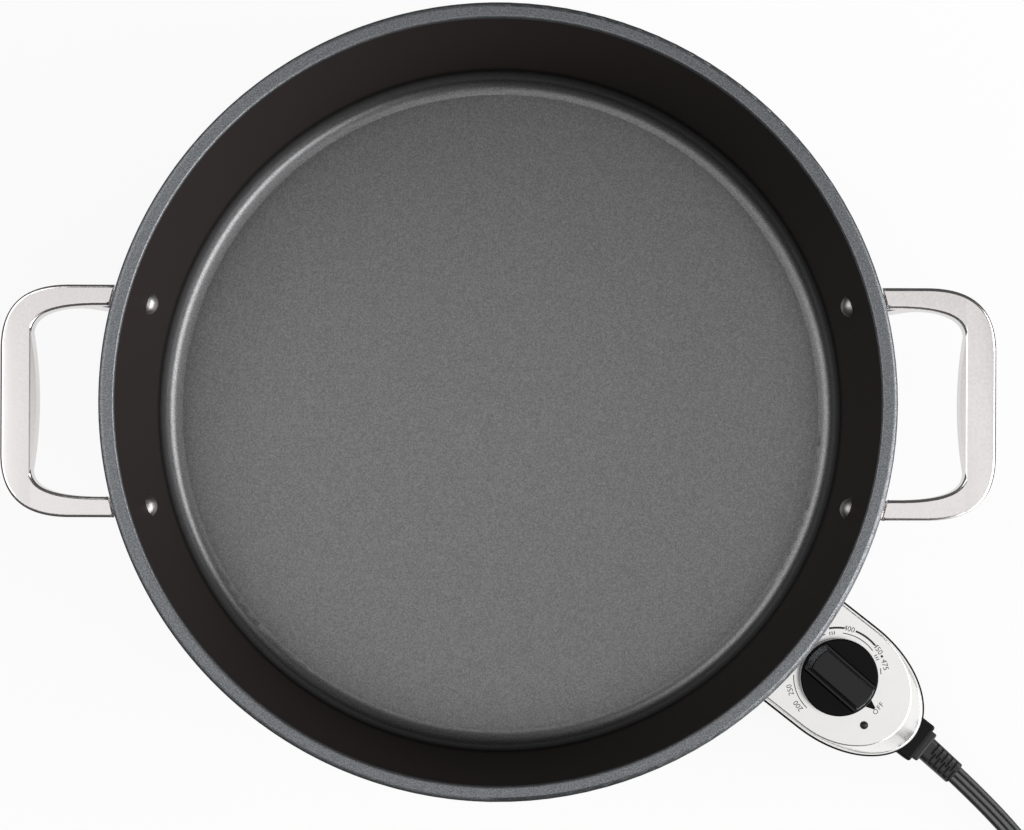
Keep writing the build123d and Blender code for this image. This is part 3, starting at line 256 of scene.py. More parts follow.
def nonstick_coating(colours):
    """Sprayed non-stick coating with metal flake, over cast aluminium."""
    # The real flake is under 0.1 mm, too fine to show, so its faint pale specks are drawn 0.6 mm wide.
    # The inner wall's coat is warm and dark, with almost no shine: its darkness is painted shade, standing
    # in for the dark room that the wall mirrors. Outside and on the rim it is bluer, with stronger specks.
    material, tree, shader = begin("sprayed_nonstick_coating")
    radius, height, outside, inner_wall = pan_regions(tree)
    low, high = FLAKE_RANGE
    specks = add(tree, "ShaderNodeMapRange", {0: grain(tree, FLAKE_SIZE, 1.0), 1: low, 2: high})
    floor = add(tree, inputs={0: specks, 6: rgba(colours.coating), 7: rgba(colours.flake)}, **COLOUR_MIX)
    inputs = {0: specks, 6: rgba(colours.outside), 7: rgba(colours.outside_flake)}
    skin = add(tree, inputs=inputs, **COLOUR_MIX)
    coat = add(tree, inputs={0: outside, 6: floor, 7: skin}, **COLOUR_MIX)
    # Painted shade: the wall is black just above the cove and brightens to its own colour higher up.
    above_painted_shade = add(tree, "ShaderNodeMapRange", {0: height, 1: WALL_SHADE_TOP, 2: WALL_SHADE_TOP + WALL_SHADE_BLEND})
    wall = add(tree, inputs={0: above_painted_shade, 6: BLACK, 7: rgba(colours.wall)}, **COLOUR_MIX)
    tint = add(tree, inputs={0: inner_wall, 6: coat, 7: wall}, **COLOUR_MIX)
    tree.links.new(tint, shader.inputs["Base Color"])
    # The wall has no metal shine, so it mirrors nothing and keeps its painted shade.
    metallic = add(tree, "ShaderNodeMapRange", {0: inner_wall, 3: COAT_METALLIC, 4: 0.0})
    tree.links.new(metallic, shader.inputs["Metallic"])
    shader.inputs["Specular IOR Level"].default_value = COAT_SPECULAR
    smooth, rough = COAT_ROUGHNESS
    inputs = {0: grain(tree, COAT_GRAIN), 1: GRAIN_LOW, 2: GRAIN_HIGH, 3: smooth, 4: rough}
    base = add(tree, "ShaderNodeMapRange", inputs)
    inputs = {0: radius, 1: COVE_START, 2: COVE_START + COVE_BLEND, 4: COVE_SHARE}
    in_cove = add(tree, "ShaderNodeMapRange", inputs)
    dull = add(tree, "ShaderNodeMath", {0: outside, 1: in_cove}, operation="MAXIMUM")
    total = add(tree, "ShaderNodeMath", {0: dull, 1: OUTSIDE_DULL, 2: base}, operation="MULTIPLY_ADD")
    tree.links.new(total, shader.inputs["Roughness"])
    fine_relief(tree, shader, size=0.5 * MM, depth=0.02 * MM, strength=0.3)
    return material


def polished_steel(name, tint, rough):
    """Stainless steel or aluminium, polished or finely brushed."""
    # Polishing leaves a faint cloudiness a centimetre across, and duller smears of a millimetre.
    material, tree, shader = begin(name)
    darker = tuple(c * 0.94 for c in tint)
    cloudy_colour(tree, shader, 14 * MM, darker, tint, detail=3.0)
    shader.inputs["Metallic"].default_value = 1.0
    cloudy_roughness(tree, shader, 1.2 * MM, rough * 0.85, rough * 1.2, detail=4.0)
    fine_relief(tree, shader, size=0.25 * MM, depth=0.0015 * MM, strength=0.4)
    return material


GRIP_WIDTH = 13.2 * MM
GRIP_CROWN = 0.3 * MM
HANDLE_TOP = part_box("handle_right")[1].z
HANDLE_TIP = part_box("handle_right")[1].x


def handle_steel(colours):
    """Polished steel whose grips are slightly crowned across their width."""
    # The crown turns the flat grip's mirror image into a soft gradient from edge to edge.
    material = polished_steel("polished_cast_stainless_steel", tuple(colours.steel), rough=0.2)
    tree = material.node_tree
    place = add(tree, "ShaderNodeTexCoord", output="Object")
    across = add(tree, "ShaderNodeSeparateXYZ", {0: place}, "X")
    out = add(tree, "ShaderNodeMath", {0: across}, operation="ABSOLUTE")
    middle = HANDLE_TIP - GRIP_WIDTH / 2
    inputs = {0: out, 1: middle - GRIP_WIDTH / 2, 2: middle + GRIP_WIDTH / 2, 3: -1.0, 4: 1.0}
    share = add(tree, "ShaderNodeMapRange", inputs)
    fall = add(tree, "ShaderNodeMath", {0: share, 1: share}, operation="MULTIPLY")
    crown = add(tree, "ShaderNodeMapRange", {0: fall, 3: 1.0, 4: 0.0})
    fine = tree.nodes["Bump"].outputs["Normal"]
    curved = add(tree, "ShaderNodeBump", {"Height": crown, "Distance": GRIP_CROWN, "Normal": fine}, "Normal")
    tree.links.new(curved, tree.nodes["Principled BSDF"].inputs["Normal"])
    return material


def plain_metal(name, code, rough):
    """Plated, drawn or stamped metal."""
    # The metal's dull grain of about half a millimetre breaks up its shine.
    material, tree, shader = begin(name)
    tint = srgb(code)
    darker = tuple(c * 0.8 for c in tint)
    cloudy_colour(tree, shader, 3 * MM, darker, tint)
    shader.inputs["Metallic"].default_value = 1.0
    cloudy_roughness(tree, shader, 0.6 * MM, rough * 0.8, rough * 1.25)
    return material


def moulded_plastic(name, tint, rough, relief, size=0.5, gloss=0.5):
    """Moulded plastic, with the fine texture of its mould."""
    # The mould's grain softens the shine. Its size and its depth, the relief, are in millimetres.
    material, tree, shader = begin(name)
    paler = tuple(c * 1.35 + 0.0005 for c in tint)
    cloudy_colour(tree, shader, 3 * size * MM, tint, paler)
    shader.inputs["Specular IOR Level"].default_value = gloss
    cloudy_roughness(tree, shader, size * MM, rough * 0.85, rough * 1.15)
    fine_relief(tree, shader, size * MM, depth=relief * MM, strength=0.6)
    return material


# The knob's skirt ends at this height. The bar above it shines more.
SKIRT_TOP = COVER_TOP + 7.3 * MM
SHINE_BLEND = 0.6 * MM
SKIRT_SHINE = 0.1
BAR_SHINE = 0.36


def knob_gloss(colours):
    """Glossy bar on a darker, duller skirt, moulded in one piece."""
    # A smooth mould leaves only a slow waviness of 2 mm, so the bar's sides read as clean planes.
    tint = tuple(colours.gloss)
    material = moulded_plastic("glossy_moulded_knob", tint, rough=0.2, relief=0.0004, size=2.0)
    tree = material.node_tree
    place = add(tree, "ShaderNodeTexCoord", output="Object")
    height = add(tree, "ShaderNodeSeparateXYZ", {0: place}, "Z")
    inputs = {0: height, 1: SKIRT_TOP, 2: SKIRT_TOP + SHINE_BLEND, 3: SKIRT_SHINE, 4: BAR_SHINE}
    shine = add(tree, "ShaderNodeMapRange", inputs)
    tree.links.new(shine, tree.nodes["Principled BSDF"].inputs["Specular IOR Level"])
    return material


def plain_gloss(name, code, rough, clear=0.0):
    """Glazed ceramic, glass or clear plastic."""
    # The surface is smooth, and its colour only slightly cloudy.
    material, tree, shader = begin(name)
    tint = srgb(code)
    darker = tuple(c * 0.9 for c in tint)
    cloudy_colour(tree, shader, 2 * MM, darker, tint)
    shader.inputs["Roughness"].default_value = rough
    shader.inputs["Transmission Weight"].default_value = clear
    return material


def finish(material, *names):
    """Give nodes of the frame their material."""
    for name in names:
        mesh = NODES[name].data
        mesh.materials.clear()
        mesh.materials.append(material)


# ------------------------------------------------------------------ mesh helpers

CREASE_ANGLE = math.radians(35)


def piece_from(bm, name, material, body):
    """New piece from a bmesh, riding on a body."""
    mesh = bpy.data.meshes.new(name)
    bm.to_mesh(mesh)
    bm.free()
    return piece_of(mesh, name, material, body)


def piece_of(mesh, name, material, body):
    """New piece from a mesh, riding on a body."""
    mesh.materials.clear()
    mesh.materials.append(material)
    made = bpy.data.objects.new(name, mesh)
    bpy.context.scene.collection.objects.link(made)
    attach(made, body)
    return made


def mesh_of(curve, name):
    """Mesh of a curve or text, made without keeping its object."""
    holder = bpy.data.objects.new(name, curve)
    bpy.context.scene.collection.objects.link(holder)
    bpy.context.view_layer.update()
    made = bpy.data.meshes.new_from_object(holder.evaluated_get(bpy.context.evaluated_depsgraph_get()))
    bpy.data.objects.remove(holder)
    return made


def thicken(bm, thickness):
    """Raise flat faces that look up into a thin slab."""
    bmesh.ops.recalc_face_normals(bm, faces=bm.faces)
    for face in bm.faces:
        if face.normal.z < 0:
            face.normal_flip()
    raised = bmesh.ops.extrude_face_region(bm, geom=list(bm.faces))
    tops = [part for part in raised["geom"] if isinstance(part, bmesh.types.BMVert)]
    bmesh.ops.translate(bm, verts=tops, vec=(0, 0, thickness))
    bmesh.ops.recalc_face_normals(bm, faces=bm.faces)


def loft(bm, rings):
    """Skin over closed rings of points, with both ends capped. Gives the first ring's corners."""
    made = [[bm.verts.new(point) for point in ring] for ring in rings]
    for ring, following in zip(made, made[1:]):
        for n in range(len(ring)):
            bm.faces.new((ring[n - 1], ring[n], following[n], following[n - 1]))
    bm.faces.new(made[0])
    bm.faces.new(made[-1])
    return made[0]


def crease(mesh):
    """Smooth shading, with sharp edges where faces meet at more than the crease angle."""
    mesh.shade_smooth()
    mesh.set_sharp_from_angle(angle=CREASE_ANGLE)


# ------------------------------------------------------------------ trim

# An arm of a handle: the y of its outer face, its width and its rounded edges. Then its end, which
# closes on the rim: the gap left there, its reach past the rim, its height and its bevel. Hold points
# lie a little beside each rounded edge, and the end stands proud of the arm by a hair.
RIM_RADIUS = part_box("pan_body")[1].x
ARM_OUTSIDE = 50.2 * MM
ARM_WIDTH = 9.0 * MM
ARM_EDGE = 1.5 * MM
ARM_EDGE_STEPS = 5
ARM_END_GAP = 1.4 * MM
ARM_END_REACH = 4.1 * MM
ARM_END_HEIGHT = 3.2 * MM
ARM_END_BEVEL = 0.9 * MM
ARM_HEIGHT = 8.0 * MM
ARM_HOLD = 0.1 * MM
PROUD = 0.015 * MM
# How far out each ring of an arm's end stands, as a share of its reach, and the ring's height.
ARM_RINGS = ((0, ARM_END_HEIGHT), (0.2, 1.3 * ARM_END_HEIGHT), (1, ARM_HEIGHT))


def arm_section():
    """Section of a handle arm as pairs of y and depth below its top, from one foot to the other."""
    near = ARM_OUTSIDE - ARM_WIDTH - PROUD
    far = ARM_OUTSIDE + PROUD
    corners = []
    for centre, start in ((near + ARM_EDGE, 180), (far - ARM_EDGE, 90)):
        angles = [math.radians(start - 90 / ARM_EDGE_STEPS * n) for n in range(ARM_EDGE_STEPS + 1)]
        corners.append([(centre + ARM_EDGE * math.cos(a), ARM_EDGE * (1 - math.sin(a))) for a in angles])
    first, last = corners
    # Points close beside the rounded edges keep the flat faces flat when they are shaded.
    down = ARM_EDGE + ARM_HOLD
    top = [(first[-1][0] + ARM_HOLD, 0), (last[0][0] - ARM_HOLD, 0)]
    return [(near, None), (near, down), *first, *top, *last, (far, down), (far, None)]


def arm_ends(material):
    """Level ends of the handles' four arms, close to the pan's rim."""
    bm = bmesh.new()
    for side in (1, -1):
        for end in (1, -1):
            rings = []
            for share, height in ARM_RINGS:
                ring = []
                for y, depth in arm_section():
                    near = math.sqrt((RIM_RADIUS + ARM_END_GAP) ** 2 - y**2)
                    x = near + share * (RIM_RADIUS + ARM_END_REACH - near)
                    z = HANDLE_TOP + PROUD - (height if depth is None else depth)
                    ring.append((side * x, end * y, z))
                rings.append(ring)
            top = loft(bm, rings)[1:-1]
            rim = [e for e in bm.edges if e.verts[0] in top and e.verts[1] in top]
            shape = {"offset": ARM_END_BEVEL, "segments": 3, "profile": 0.5, "material": -1}
            bmesh.ops.bevel(bm, geom=rim, affect="EDGES", **shape)
    bmesh.ops.recalc_face_normals(bm, faces=bm.faces)
    crease(piece_from(bm, "handle_arm_ends", material, "pan").data)


# The cover ends at this height. The seal stands proud of the cover's side, hangs below its edge and
# rises by a lip beside it. At the back it stops a little short of the cover's end. It stays clear of
# the cover by a hair, and so does its inner side, this far in from the cover's side, of the base.
SEAM_HEIGHT = COVER_TOP - 11.5 * MM
SEAM_PROUD = 0.95 * MM
SEAM_DEPTH = 1.0 * MM
SEAM_LIP = 0.35 * MM
SEAM_BACK = 0.5 * MM
SEAM_CLEAR = 0.02 * MM
SEAM_INSET = 1.45 * MM
# The nose of the housing is half an ellipse, and its middle lies this far past the knob's axis.
NOSE_OFFSET = 2.3 * MM
NOSE_STEPS = 60


def housing_outline(half_width, tip, back, inset):
    """Half-ellipse nose and straight sides of the housing, drawn in by an even amount."""
    middle = math.hypot(SHAFT_AXIS.x, SHAFT_AXIS.y) + NOSE_OFFSET
    half = half_width - inset
    reach = tip - middle - inset
    angles = [math.radians(-90 + 180 * n / NOSE_STEPS) for n in range(NOSE_STEPS + 1)]
    nose = [(middle + reach * math.cos(a), half * math.sin(a)) for a in angles]
    return [(back, -half), *nose, (back, half)]


def housing_seam(material):
    """Thin black seal that shows as a line between the cover and the base."""
    turn = Matrix.Rotation(-CONTROL_AZIMUTH, 4, "Z")
    spots = [turn @ v.co for v in NODES["control_cover"].data.vertices]
    half_width = max(abs(v.y) for v in spots)
    tip = max(v.x for v in spots)
    back = min(v.x for v in spots) + SEAM_BACK
    low = SEAM_HEIGHT - SEAM_DEPTH
    under = SEAM_HEIGHT - SEAM_CLEAR
    lip = SEAM_HEIGHT + SEAM_LIP
    # Inset from the cover's side and height, from the seal's outside over its lip to its inside.
    section = [(-SEAM_PROUD, low), (-SEAM_PROUD, lip), (-SEAM_CLEAR, lip), (-SEAM_CLEAR, under)]
    section += [(SEAM_INSET, under), (SEAM_INSET, low)]
    outlines = [housing_outline(half_width, tip, back, inset) for inset, _ in section]
    rings = []
    for n in range(len(outlines[0])):
        rings.append([(*outline[n], height) for outline, (_, height) in zip(outlines, section)])
    bm = bmesh.new()
    loft(bm, rings)
    bmesh.ops.recalc_face_normals(bm, faces=bm.faces)
    bmesh.ops.transform(bm, matrix=turn.inverted(), verts=bm.verts)
    crease(piece_from(bm, "housing_seam", material, "control").data)


# ------------------------------------------------------------------ dial

# Angles are in degrees, clockwise from OFF.
DIAL_NUMBERS = [(105, "200"), (126, "250"), (166, "300"), (206, "350"), (246, "400"), (288, "450")]
DIAL_NUMBERS += [(308, "475")]
DIAL_THIN_ARCS = [(96, 144), (156, 176), (196, 216), (239, 286), (311, 319)]
DIAL_THICK_ARCS = [(222, 240), (254, 282)]
DIAL_TICKS = [222, 225, 228, 293, 296, 299]
TICK_LENGTH = 1.6 * MM
DIAL_DOT = 297.5
DOT_SIZE = 1.1 * MM
ARC_STEP = 3
# A figure's height as a share of its font's size.
FIGURE_SHARE = 0.7


def dial_place(angle, radius):
    """Matrix to a spot on the dial, clockwise from OFF, its local +X pointing away from the knob."""
    turn = CONTROL_AZIMUTH - math.radians(angle)
    spot = Matrix.Translation((SHAFT_AXIS.x, SHAFT_AXIS.y, 0))
    return spot @ Matrix.Rotation(turn, 4, "Z") @ Matrix.Translation((radius, 0, 0))


def add_arc(bm, start, end, radius, width):
    """Printed arc between two angles clockwise from OFF."""
    place = dial_place(start, 0)
    ends = [bm.verts.new(place @ Vector((r, 0, 0))) for r in (radius - width / 2, radius + width / 2)]
    edge = bm.edges.new(ends)
    bmesh.ops.spin(
        bm,
        geom=[*ends, edge],
        cent=(SHAFT_AXIS.x, SHAFT_AXIS.y, 0),
        axis=(0, 0, 1),
        angle=-math.radians(end - start),
        steps=max(4, round(abs(end - start) / ARC_STEP)),
    )


def add_text(bm, text, angle, radius, height, outward=True, spacing=1.0):
    """Printed text centred on the dial, its tops away from the knob or towards it."""
    curve = bpy.data.curves.new("figure", "FONT")
    curve.body = text
    curve.size = height / FIGURE_SHARE
    curve.align_x = "CENTER"
    curve.align_y = "CENTER"
    curve.space_character = spacing
    curve.resolution_u = 3
    mesh = mesh_of(curve, "figure")
    quarter = -math.pi / 2 if outward else math.pi / 2
    mesh.transform(dial_place(angle, radius) @ Matrix.Rotation(quarter, 4, "Z"))
    bm.from_mesh(mesh)
    bpy.data.meshes.remove(mesh)


def add_tick(bm, angle, radius, depth, width):
    """Printed radial tick."""
    made = bmesh.ops.create_grid(bm, x_segments=1, y_segments=1, size=0.5)
    shape = dial_place(angle, radius) @ Matrix.Diagonal((depth, width, 1, 1))
    bmesh.ops.transform(bm, matrix=shape, verts=made["verts"])


def dial_marks(sizes, colours):
    """Figures, arcs and ticks printed on the cover round the knob."""
    bm = bmesh.new()
    for angle, text in DIAL_NUMBERS:
        add_text(bm, text, angle, sizes.outer_ring, sizes.number_height)
    add_text(bm, "OFF", 0, sizes.off_radius, sizes.off_height, outward=False, spacing=1.2)
    for start, end in DIAL_THIN_ARCS:
        add_arc(bm, start, end, sizes.inner_ring, sizes.thin_line)
    for start, end in DIAL_THICK_ARCS:
        add_arc(bm, start, end, sizes.outer_ring, sizes.thick_line)
    for angle in DIAL_TICKS:
        add_tick(bm, angle, sizes.inner_ring, TICK_LENGTH, sizes.thin_line)
    add_tick(bm, DIAL_DOT, sizes.outer_ring, DOT_SIZE, DOT_SIZE)
    thicken(bm, sizes.ink_thickness)
    bmesh.ops.translate(bm, verts=bm.verts, vec=(0, 0, COVER_TOP))
    ink = moulded_plastic("pad_printed_ink", tuple(colours.ink), rough=0.5, relief=0.002)
    piece_from(bm, "dial_marks", ink, "control")


# ------------------------------------------------------------------ cord


def cord_route(sizes):
    """Control points of the cord: lead, turns of the coil and tail."""
    turn = COIL_START - COIL_END + 2 * math.pi * sizes.coil_turns
    count = round(turn / (2 * math.pi) * sizes.coil_steps)
    # A smooth line cuts inside its points, so they stand a little outside the coil's radius.
    radius = sizes.coil_radius * 2 / (1 + math.cos(math.pi / sizes.coil_steps))
    low = CORD_LEAD[-1][2]
    high = CORD_TAIL[0][2]
    points = list(CORD_LEAD)
    for n in range(1, count):
        share = n / count
        angle = COIL_START - turn * share
        x = COIL_CENTRE[0] + radius * math.cos(angle)
        y = COIL_CENTRE[1] + radius * math.sin(angle)
        points.append((x, y, low + (high - low) * share))
    return points + CORD_TAIL


def cord_curve(points):
    """Smooth line through the cord's route."""
    curve = bpy.data.curves.new("cord_line", "CURVE")
    curve.dimensions = "3D"
    curve.twist_mode = "Z_UP"
    curve.resolution_u = 10
    spline = curve.splines.new("NURBS")
    spline.points.add(len(points) - 1)
    for point, place in zip(spline.points, points):
        point.co = (*place, 1.0)
    spline.order_u = 3
    spline.use_endpoint_u = True
    return curve


# Points on the long arcs round the outer cores, on the short ones of the middle core, and the
# distance under which two points count as one.
OUTER_STEPS = 12
MIDDLE_STEPS = 5
SAME_POINT = 0.01 * MM


def cord_profile(sizes):
    """Section of a flat cord: three round cores side by side."""
    lobe = sizes.cord_lobe / 2
    gap = (sizes.cord_width - sizes.cord_lobe) / 2
    half_cut = math.acos(gap / 2 / lobe)
    profile = bpy.data.curves.new("cord_section", "CURVE")
    profile.dimensions = "2D"
    spline = profile.splines.new("POLY")
    points = []
    arcs = [(gap, -math.pi + half_cut, math.pi - half_cut), (0, half_cut, math.pi - half_cut)]
    arcs += [(-gap, half_cut, 2 * math.pi - half_cut), (0, math.pi + half_cut, 2 * math.pi - half_cut)]
    for centre, start, end in arcs:
        steps = OUTER_STEPS if centre else MIDDLE_STEPS
        for n in range(steps + 1):
            angle = start + (end - start) * n / steps
            points.append((centre + lobe * math.cos(angle), lobe * math.sin(angle)))
    kept = [p for n, p in enumerate(points) if math.dist(p, points[n - 1]) > SAME_POINT]
    spline.points.add(len(kept) - 1)
    for point, (x, y) in zip(spline.points, kept):
        point.co = (x, y, 0, 1)
    spline.use_cyclic_u = True
    holder = bpy.data.objects.new("cord_section", profile)
    bpy.context.scene.collection.objects.link(holder)
    return holder


# ------------------------------------------------------------------ studio

FLOOR_RADIUS = 8.0
# Share of the floor's light that is its own, so that it stays white and still shows a shadow.
FLOOR_GLOW = 0.9
# Polished edges mirror a painted dark card round the skillet, so that they read against the white.
# The card is a painted reflection: only glossy rays see it, and the camera sees white paper there.
# The card starts this far from the pan's axis. The floor inside it is brighter in the steel, also a
# painted reflection.
CARD_START = 0.225
CARD_BLEND = 0.03
FLOOR_IN_STEEL = 0.85
CARD_IN_STEEL = 0.08
# The card leaves out the cone beside the control: from the first cosine of the angle to the
# control's azimuth it fades, and from the second on the floor is white.
CARD_CONE = (0.9, 0.94)


def studio_floor(colours):
    """White paper floor that keeps the object's soft shadow; reflections see a painted dark card."""
    material, tree, shader = begin("white_studio_paper")
    shader.inputs["Base Color"].default_value = rgba(colours.floor)
    shader.inputs["Roughness"].default_value = 0.9
    shader.inputs["Specular IOR Level"].default_value = 0.0
    camera = add(tree, "ShaderNodeLightPath", output="Is Camera Ray")
    through = add(tree, "ShaderNodeLightPath", output="Is Transmission Ray")
    mirrored = add(tree, "ShaderNodeLightPath", output="Is Glossy Ray")
    seen = add(tree, "ShaderNodeMath", {0: camera, 1: through}, operation="ADD", use_clamp=True)
    share = add(tree, "ShaderNodeMath", {0: seen, 1: FLOOR_GLOW}, operation="MULTIPLY")
    glow = add(tree, "ShaderNodeEmission", {"Color": WHITE, "Strength": 1.0})
    paper = add(tree, "ShaderNodeMixShader", {0: share, 1: shader.outputs[0], 2: glow})
    place = add(tree, "ShaderNodeTexCoord", output="Object")
    radius = add(tree, "ShaderNodeVectorMath", {0: place}, "Value", operation="LENGTH")
    inputs = {0: radius, 1: CARD_START, 2: CARD_START + CARD_BLEND, 3: FLOOR_IN_STEEL, 4: CARD_IN_STEEL}
    near = add(tree, "ShaderNodeMapRange", inputs)
    aim = {0: place, 1: (*CONTROL_AIM, 0)}
    along = add(tree, "ShaderNodeVectorMath", aim, "Value", operation="DOT_PRODUCT")
    cosine = add(tree, "ShaderNodeMath", {0: along, 1: radius}, operation="DIVIDE")
    beside = add(tree, "ShaderNodeMapRange", {0: cosine, 1: CARD_CONE[0], 2: CARD_CONE[1]})
    level = add(tree, "ShaderNodeMath", {0: near, 1: beside}, operation="MAXIMUM")
    # Glossy rays see this painted reflection of a card in place of the paper.
    painted_card_reflection = add(tree, "ShaderNodeEmission", {"Color": WHITE, "Strength": level})
    surface = add(tree, "ShaderNodeMixShader", {0: mirrored, 1: paper, 2: painted_card_reflection})
    tree.links.new(surface, tree.nodes["Material Output"].inputs["Surface"])
    return material


# The overhead light as seen from the pan: its middle and its two half widths, as parts of a
# direction. It is wider than deep and stands a little forward.
OVERHEAD_MIDDLE = (0.0, -0.15, 0.0)
OVERHEAD_HALF = (0.62, 0.34)
# Its brightness from its middle outwards: at 0.5 lies its edge, and past it the dark room.
OVERHEAD_LEVELS = [(0.0, 0.72), (0.18, 0.8), (0.34, 1.0), (0.44, 0.92), (0.56, 0.25), (0.7, 0.06)]
OVERHEAD_LEVELS += [(1.0, 0.08)]
ROOM_STRENGTH = 1.12
# A pale reflector stands low beyond the control. It fades in between these two cosines of the angle
# to its aim.
REFLECTOR_AIM = (*CONTROL_AIM, 0.05)
REFLECTOR_EDGE = (0.8, 0.88)
REFLECTOR_LEVEL = 0.9


def studio_world(scene):
    """Wide overhead light with soft edges, over a room that is dark at its sides."""
    world = bpy.data.worlds.new("studio")
    scene.world = world
    world.use_nodes = True
    tree = world.node_tree
    tree.nodes.clear()
    way = add(tree, "ShaderNodeTexCoord", output="Generated")
    offset = add(tree, "ShaderNodeVectorMath", {0: way, 1: OVERHEAD_MIDDLE}, operation="SUBTRACT")
    scale = (0.5 / OVERHEAD_HALF[0], 0.5 / OVERHEAD_HALF[1], 0)
    scaled = add(tree, "ShaderNodeVectorMath", {0: offset, 1: scale}, operation="MULTIPLY")
    away = add(tree, "ShaderNodeVectorMath", {0: scaled}, "Value", operation="LENGTH")
    overhead = add(tree, "ShaderNodeValToRGB", {"Fac": away})
    stops = overhead.node.color_ramp.elements
    while len(stops) < len(OVERHEAD_LEVELS):
        stops.new(0.5)
    for stop, (position, level) in zip(stops, OVERHEAD_LEVELS):
        stop.position = position
        stop.color = (level, level, level, 1)
    aim = {0: way, 1: REFLECTOR_AIM}
    towards = add(tree, "ShaderNodeVectorMath", aim, "Value", operation="DOT_PRODUCT")
    edge = {0: towards, 1: REFLECTOR_EDGE[0], 2: REFLECTOR_EDGE[1], 4: REFLECTOR_LEVEL}
    reflector = add(tree, "ShaderNodeMapRange", edge)
    both = add(tree, "ShaderNodeVectorMath", {0: overhead, 1: reflector}, operation="MAXIMUM")
    room = add(tree, "ShaderNodeBackground", {"Color": both, "Strength": ROOM_STRENGTH})
    white = add(tree, "ShaderNodeBackground", {"Color": WHITE, "Strength": 1.0})
    camera = add(tree, "ShaderNodeLightPath", output="Is Camera Ray")
    surface = add(tree, "ShaderNodeMixShader", {0: camera, 1: room, 2: white})
    tree.links.new(surface, tree.nodes.new("ShaderNodeOutputWorld").inputs["Surface"])


# Name, place, size and power of each soft light. Both are aimed at the middle of the pan.
SOFTBOXES = (
    ("key_softbox", (1.9, -0.4, 1.05), (3.3, 1.3), 56.0),
    ("fill_softbox", (-1.4, 0.5, 1.5), (2.2, 1.2), 16.0),
)
SOFTBOX_TARGET = (0, 0, 0.05)


def softbox(name, place, size, power):
    """Rectangular soft light aimed at the pan."""
    lamp = bpy.data.lights.new(name, "AREA")
    lamp.shape = "RECTANGLE"
    lamp.size, lamp.size_y = size
    lamp.energy = power
    holder = bpy.data.objects.new(name, lamp)
    bpy.context.scene.collection.objects.link(holder)
    holder.location = place
    holder.rotation_euler = (Vector(SOFTBOX_TARGET) - Vector(place)).to_track_quat("-Z", "Y").to_euler()


# The render's frame in pixels, and where the camera's plumb line meets it.
FRAME_WIDTH = 1024
FRAME_HEIGHT = 830
PLUMB_X = 525.5
PLUMB_Y = 522.0
SENSOR_WIDTH = 36.0
FOCAL_PIXELS = 1983.3
CAMERA_PLACE = (0.0120, -0.0514, 0.9665)
CAMERA_ROLL = math.radians(0.25)
CAMERA_CLIP = (0.05, 50.0)


def top_camera():
    """Camera straight above the pan, its frame shifted as a view camera's is."""
    data = bpy.data.cameras.new("top_camera")
    data.sensor_width = SENSOR_WIDTH
    data.lens = FOCAL_PIXELS / FRAME_WIDTH * SENSOR_WIDTH
    data.shift_x = (FRAME_WIDTH / 2 - PLUMB_X) / FRAME_WIDTH
    data.shift_y = (PLUMB_Y - FRAME_HEIGHT / 2) / FRAME_WIDTH
    data.clip_start, data.clip_end = CAMERA_CLIP
    holder = bpy.data.objects.new("top_camera", data)
    bpy.context.scene.collection.objects.link(holder)
    holder.location = CAMERA_PLACE
    holder.rotation_euler = Euler((0, 0, CAMERA_ROLL))
    return holder


# ------------------------------------------------------------------ operators


class SKILLET_OT_pan(bpy.types.Operator):
    """Finish the pan casting and its rivets"""

    bl_idname = "skillet.pan"
    bl_label = "Pan"

    def execute(self, context):
        colours = context.scene.skillet_colours
        finish(nonstick_coating(colours), "pan_body")
        rivet = polished_steel("brushed_rivet_steel", tuple(colours.rivet), rough=0.42)
        finish(rivet, "rivets_left", "rivets_right")
        return {"FINISHED"}


class SKILLET_OT_handles(bpy.types.Operator):
    """Finish the two cast handles"""

    bl_idname = "skillet.handles"
    bl_label = "Handles"

    def execute(self, context):
        steel = handle_steel(context.scene.skillet_colours)
        finish(steel, "handle_left", "handle_right")
        arm_ends(steel)
        return {"FINISHED"}


class SKILLET_OT_underside(bpy.types.Operator):
    """Finish the feet, socket guard and heating element"""

    bl_idname = "skillet.underside"
    bl_label = "Underside"

    def execute(self, context):
        colours = context.scene.skillet_colours
        tint = tuple(colours.phenolic)
        phenolic = moulded_plastic("moulded_phenolic_feet", tint, rough=0.42, relief=0.02)
        finish(phenolic, "foot_1", "foot_2", "foot_3", "foot_4", "socket_guard")
        plated = plain_metal("zinc_plated_steel_screws", "B9BBBD", rough=0.32)
        finish(plated, "foot_screws", "guard_screws")
        finish(plain_metal("oxidised_steel_sheath", "77716B", rough=0.45), "heating_element")
        finish(plain_metal("nickel_plated_pins", "C9C7C1", rough=0.22), "terminal_pins")
        finish(plain_gloss("steatite_ceramic", "E6E1D5", rough=0.35), "terminal_insulators")
        return {"FINISHED"}


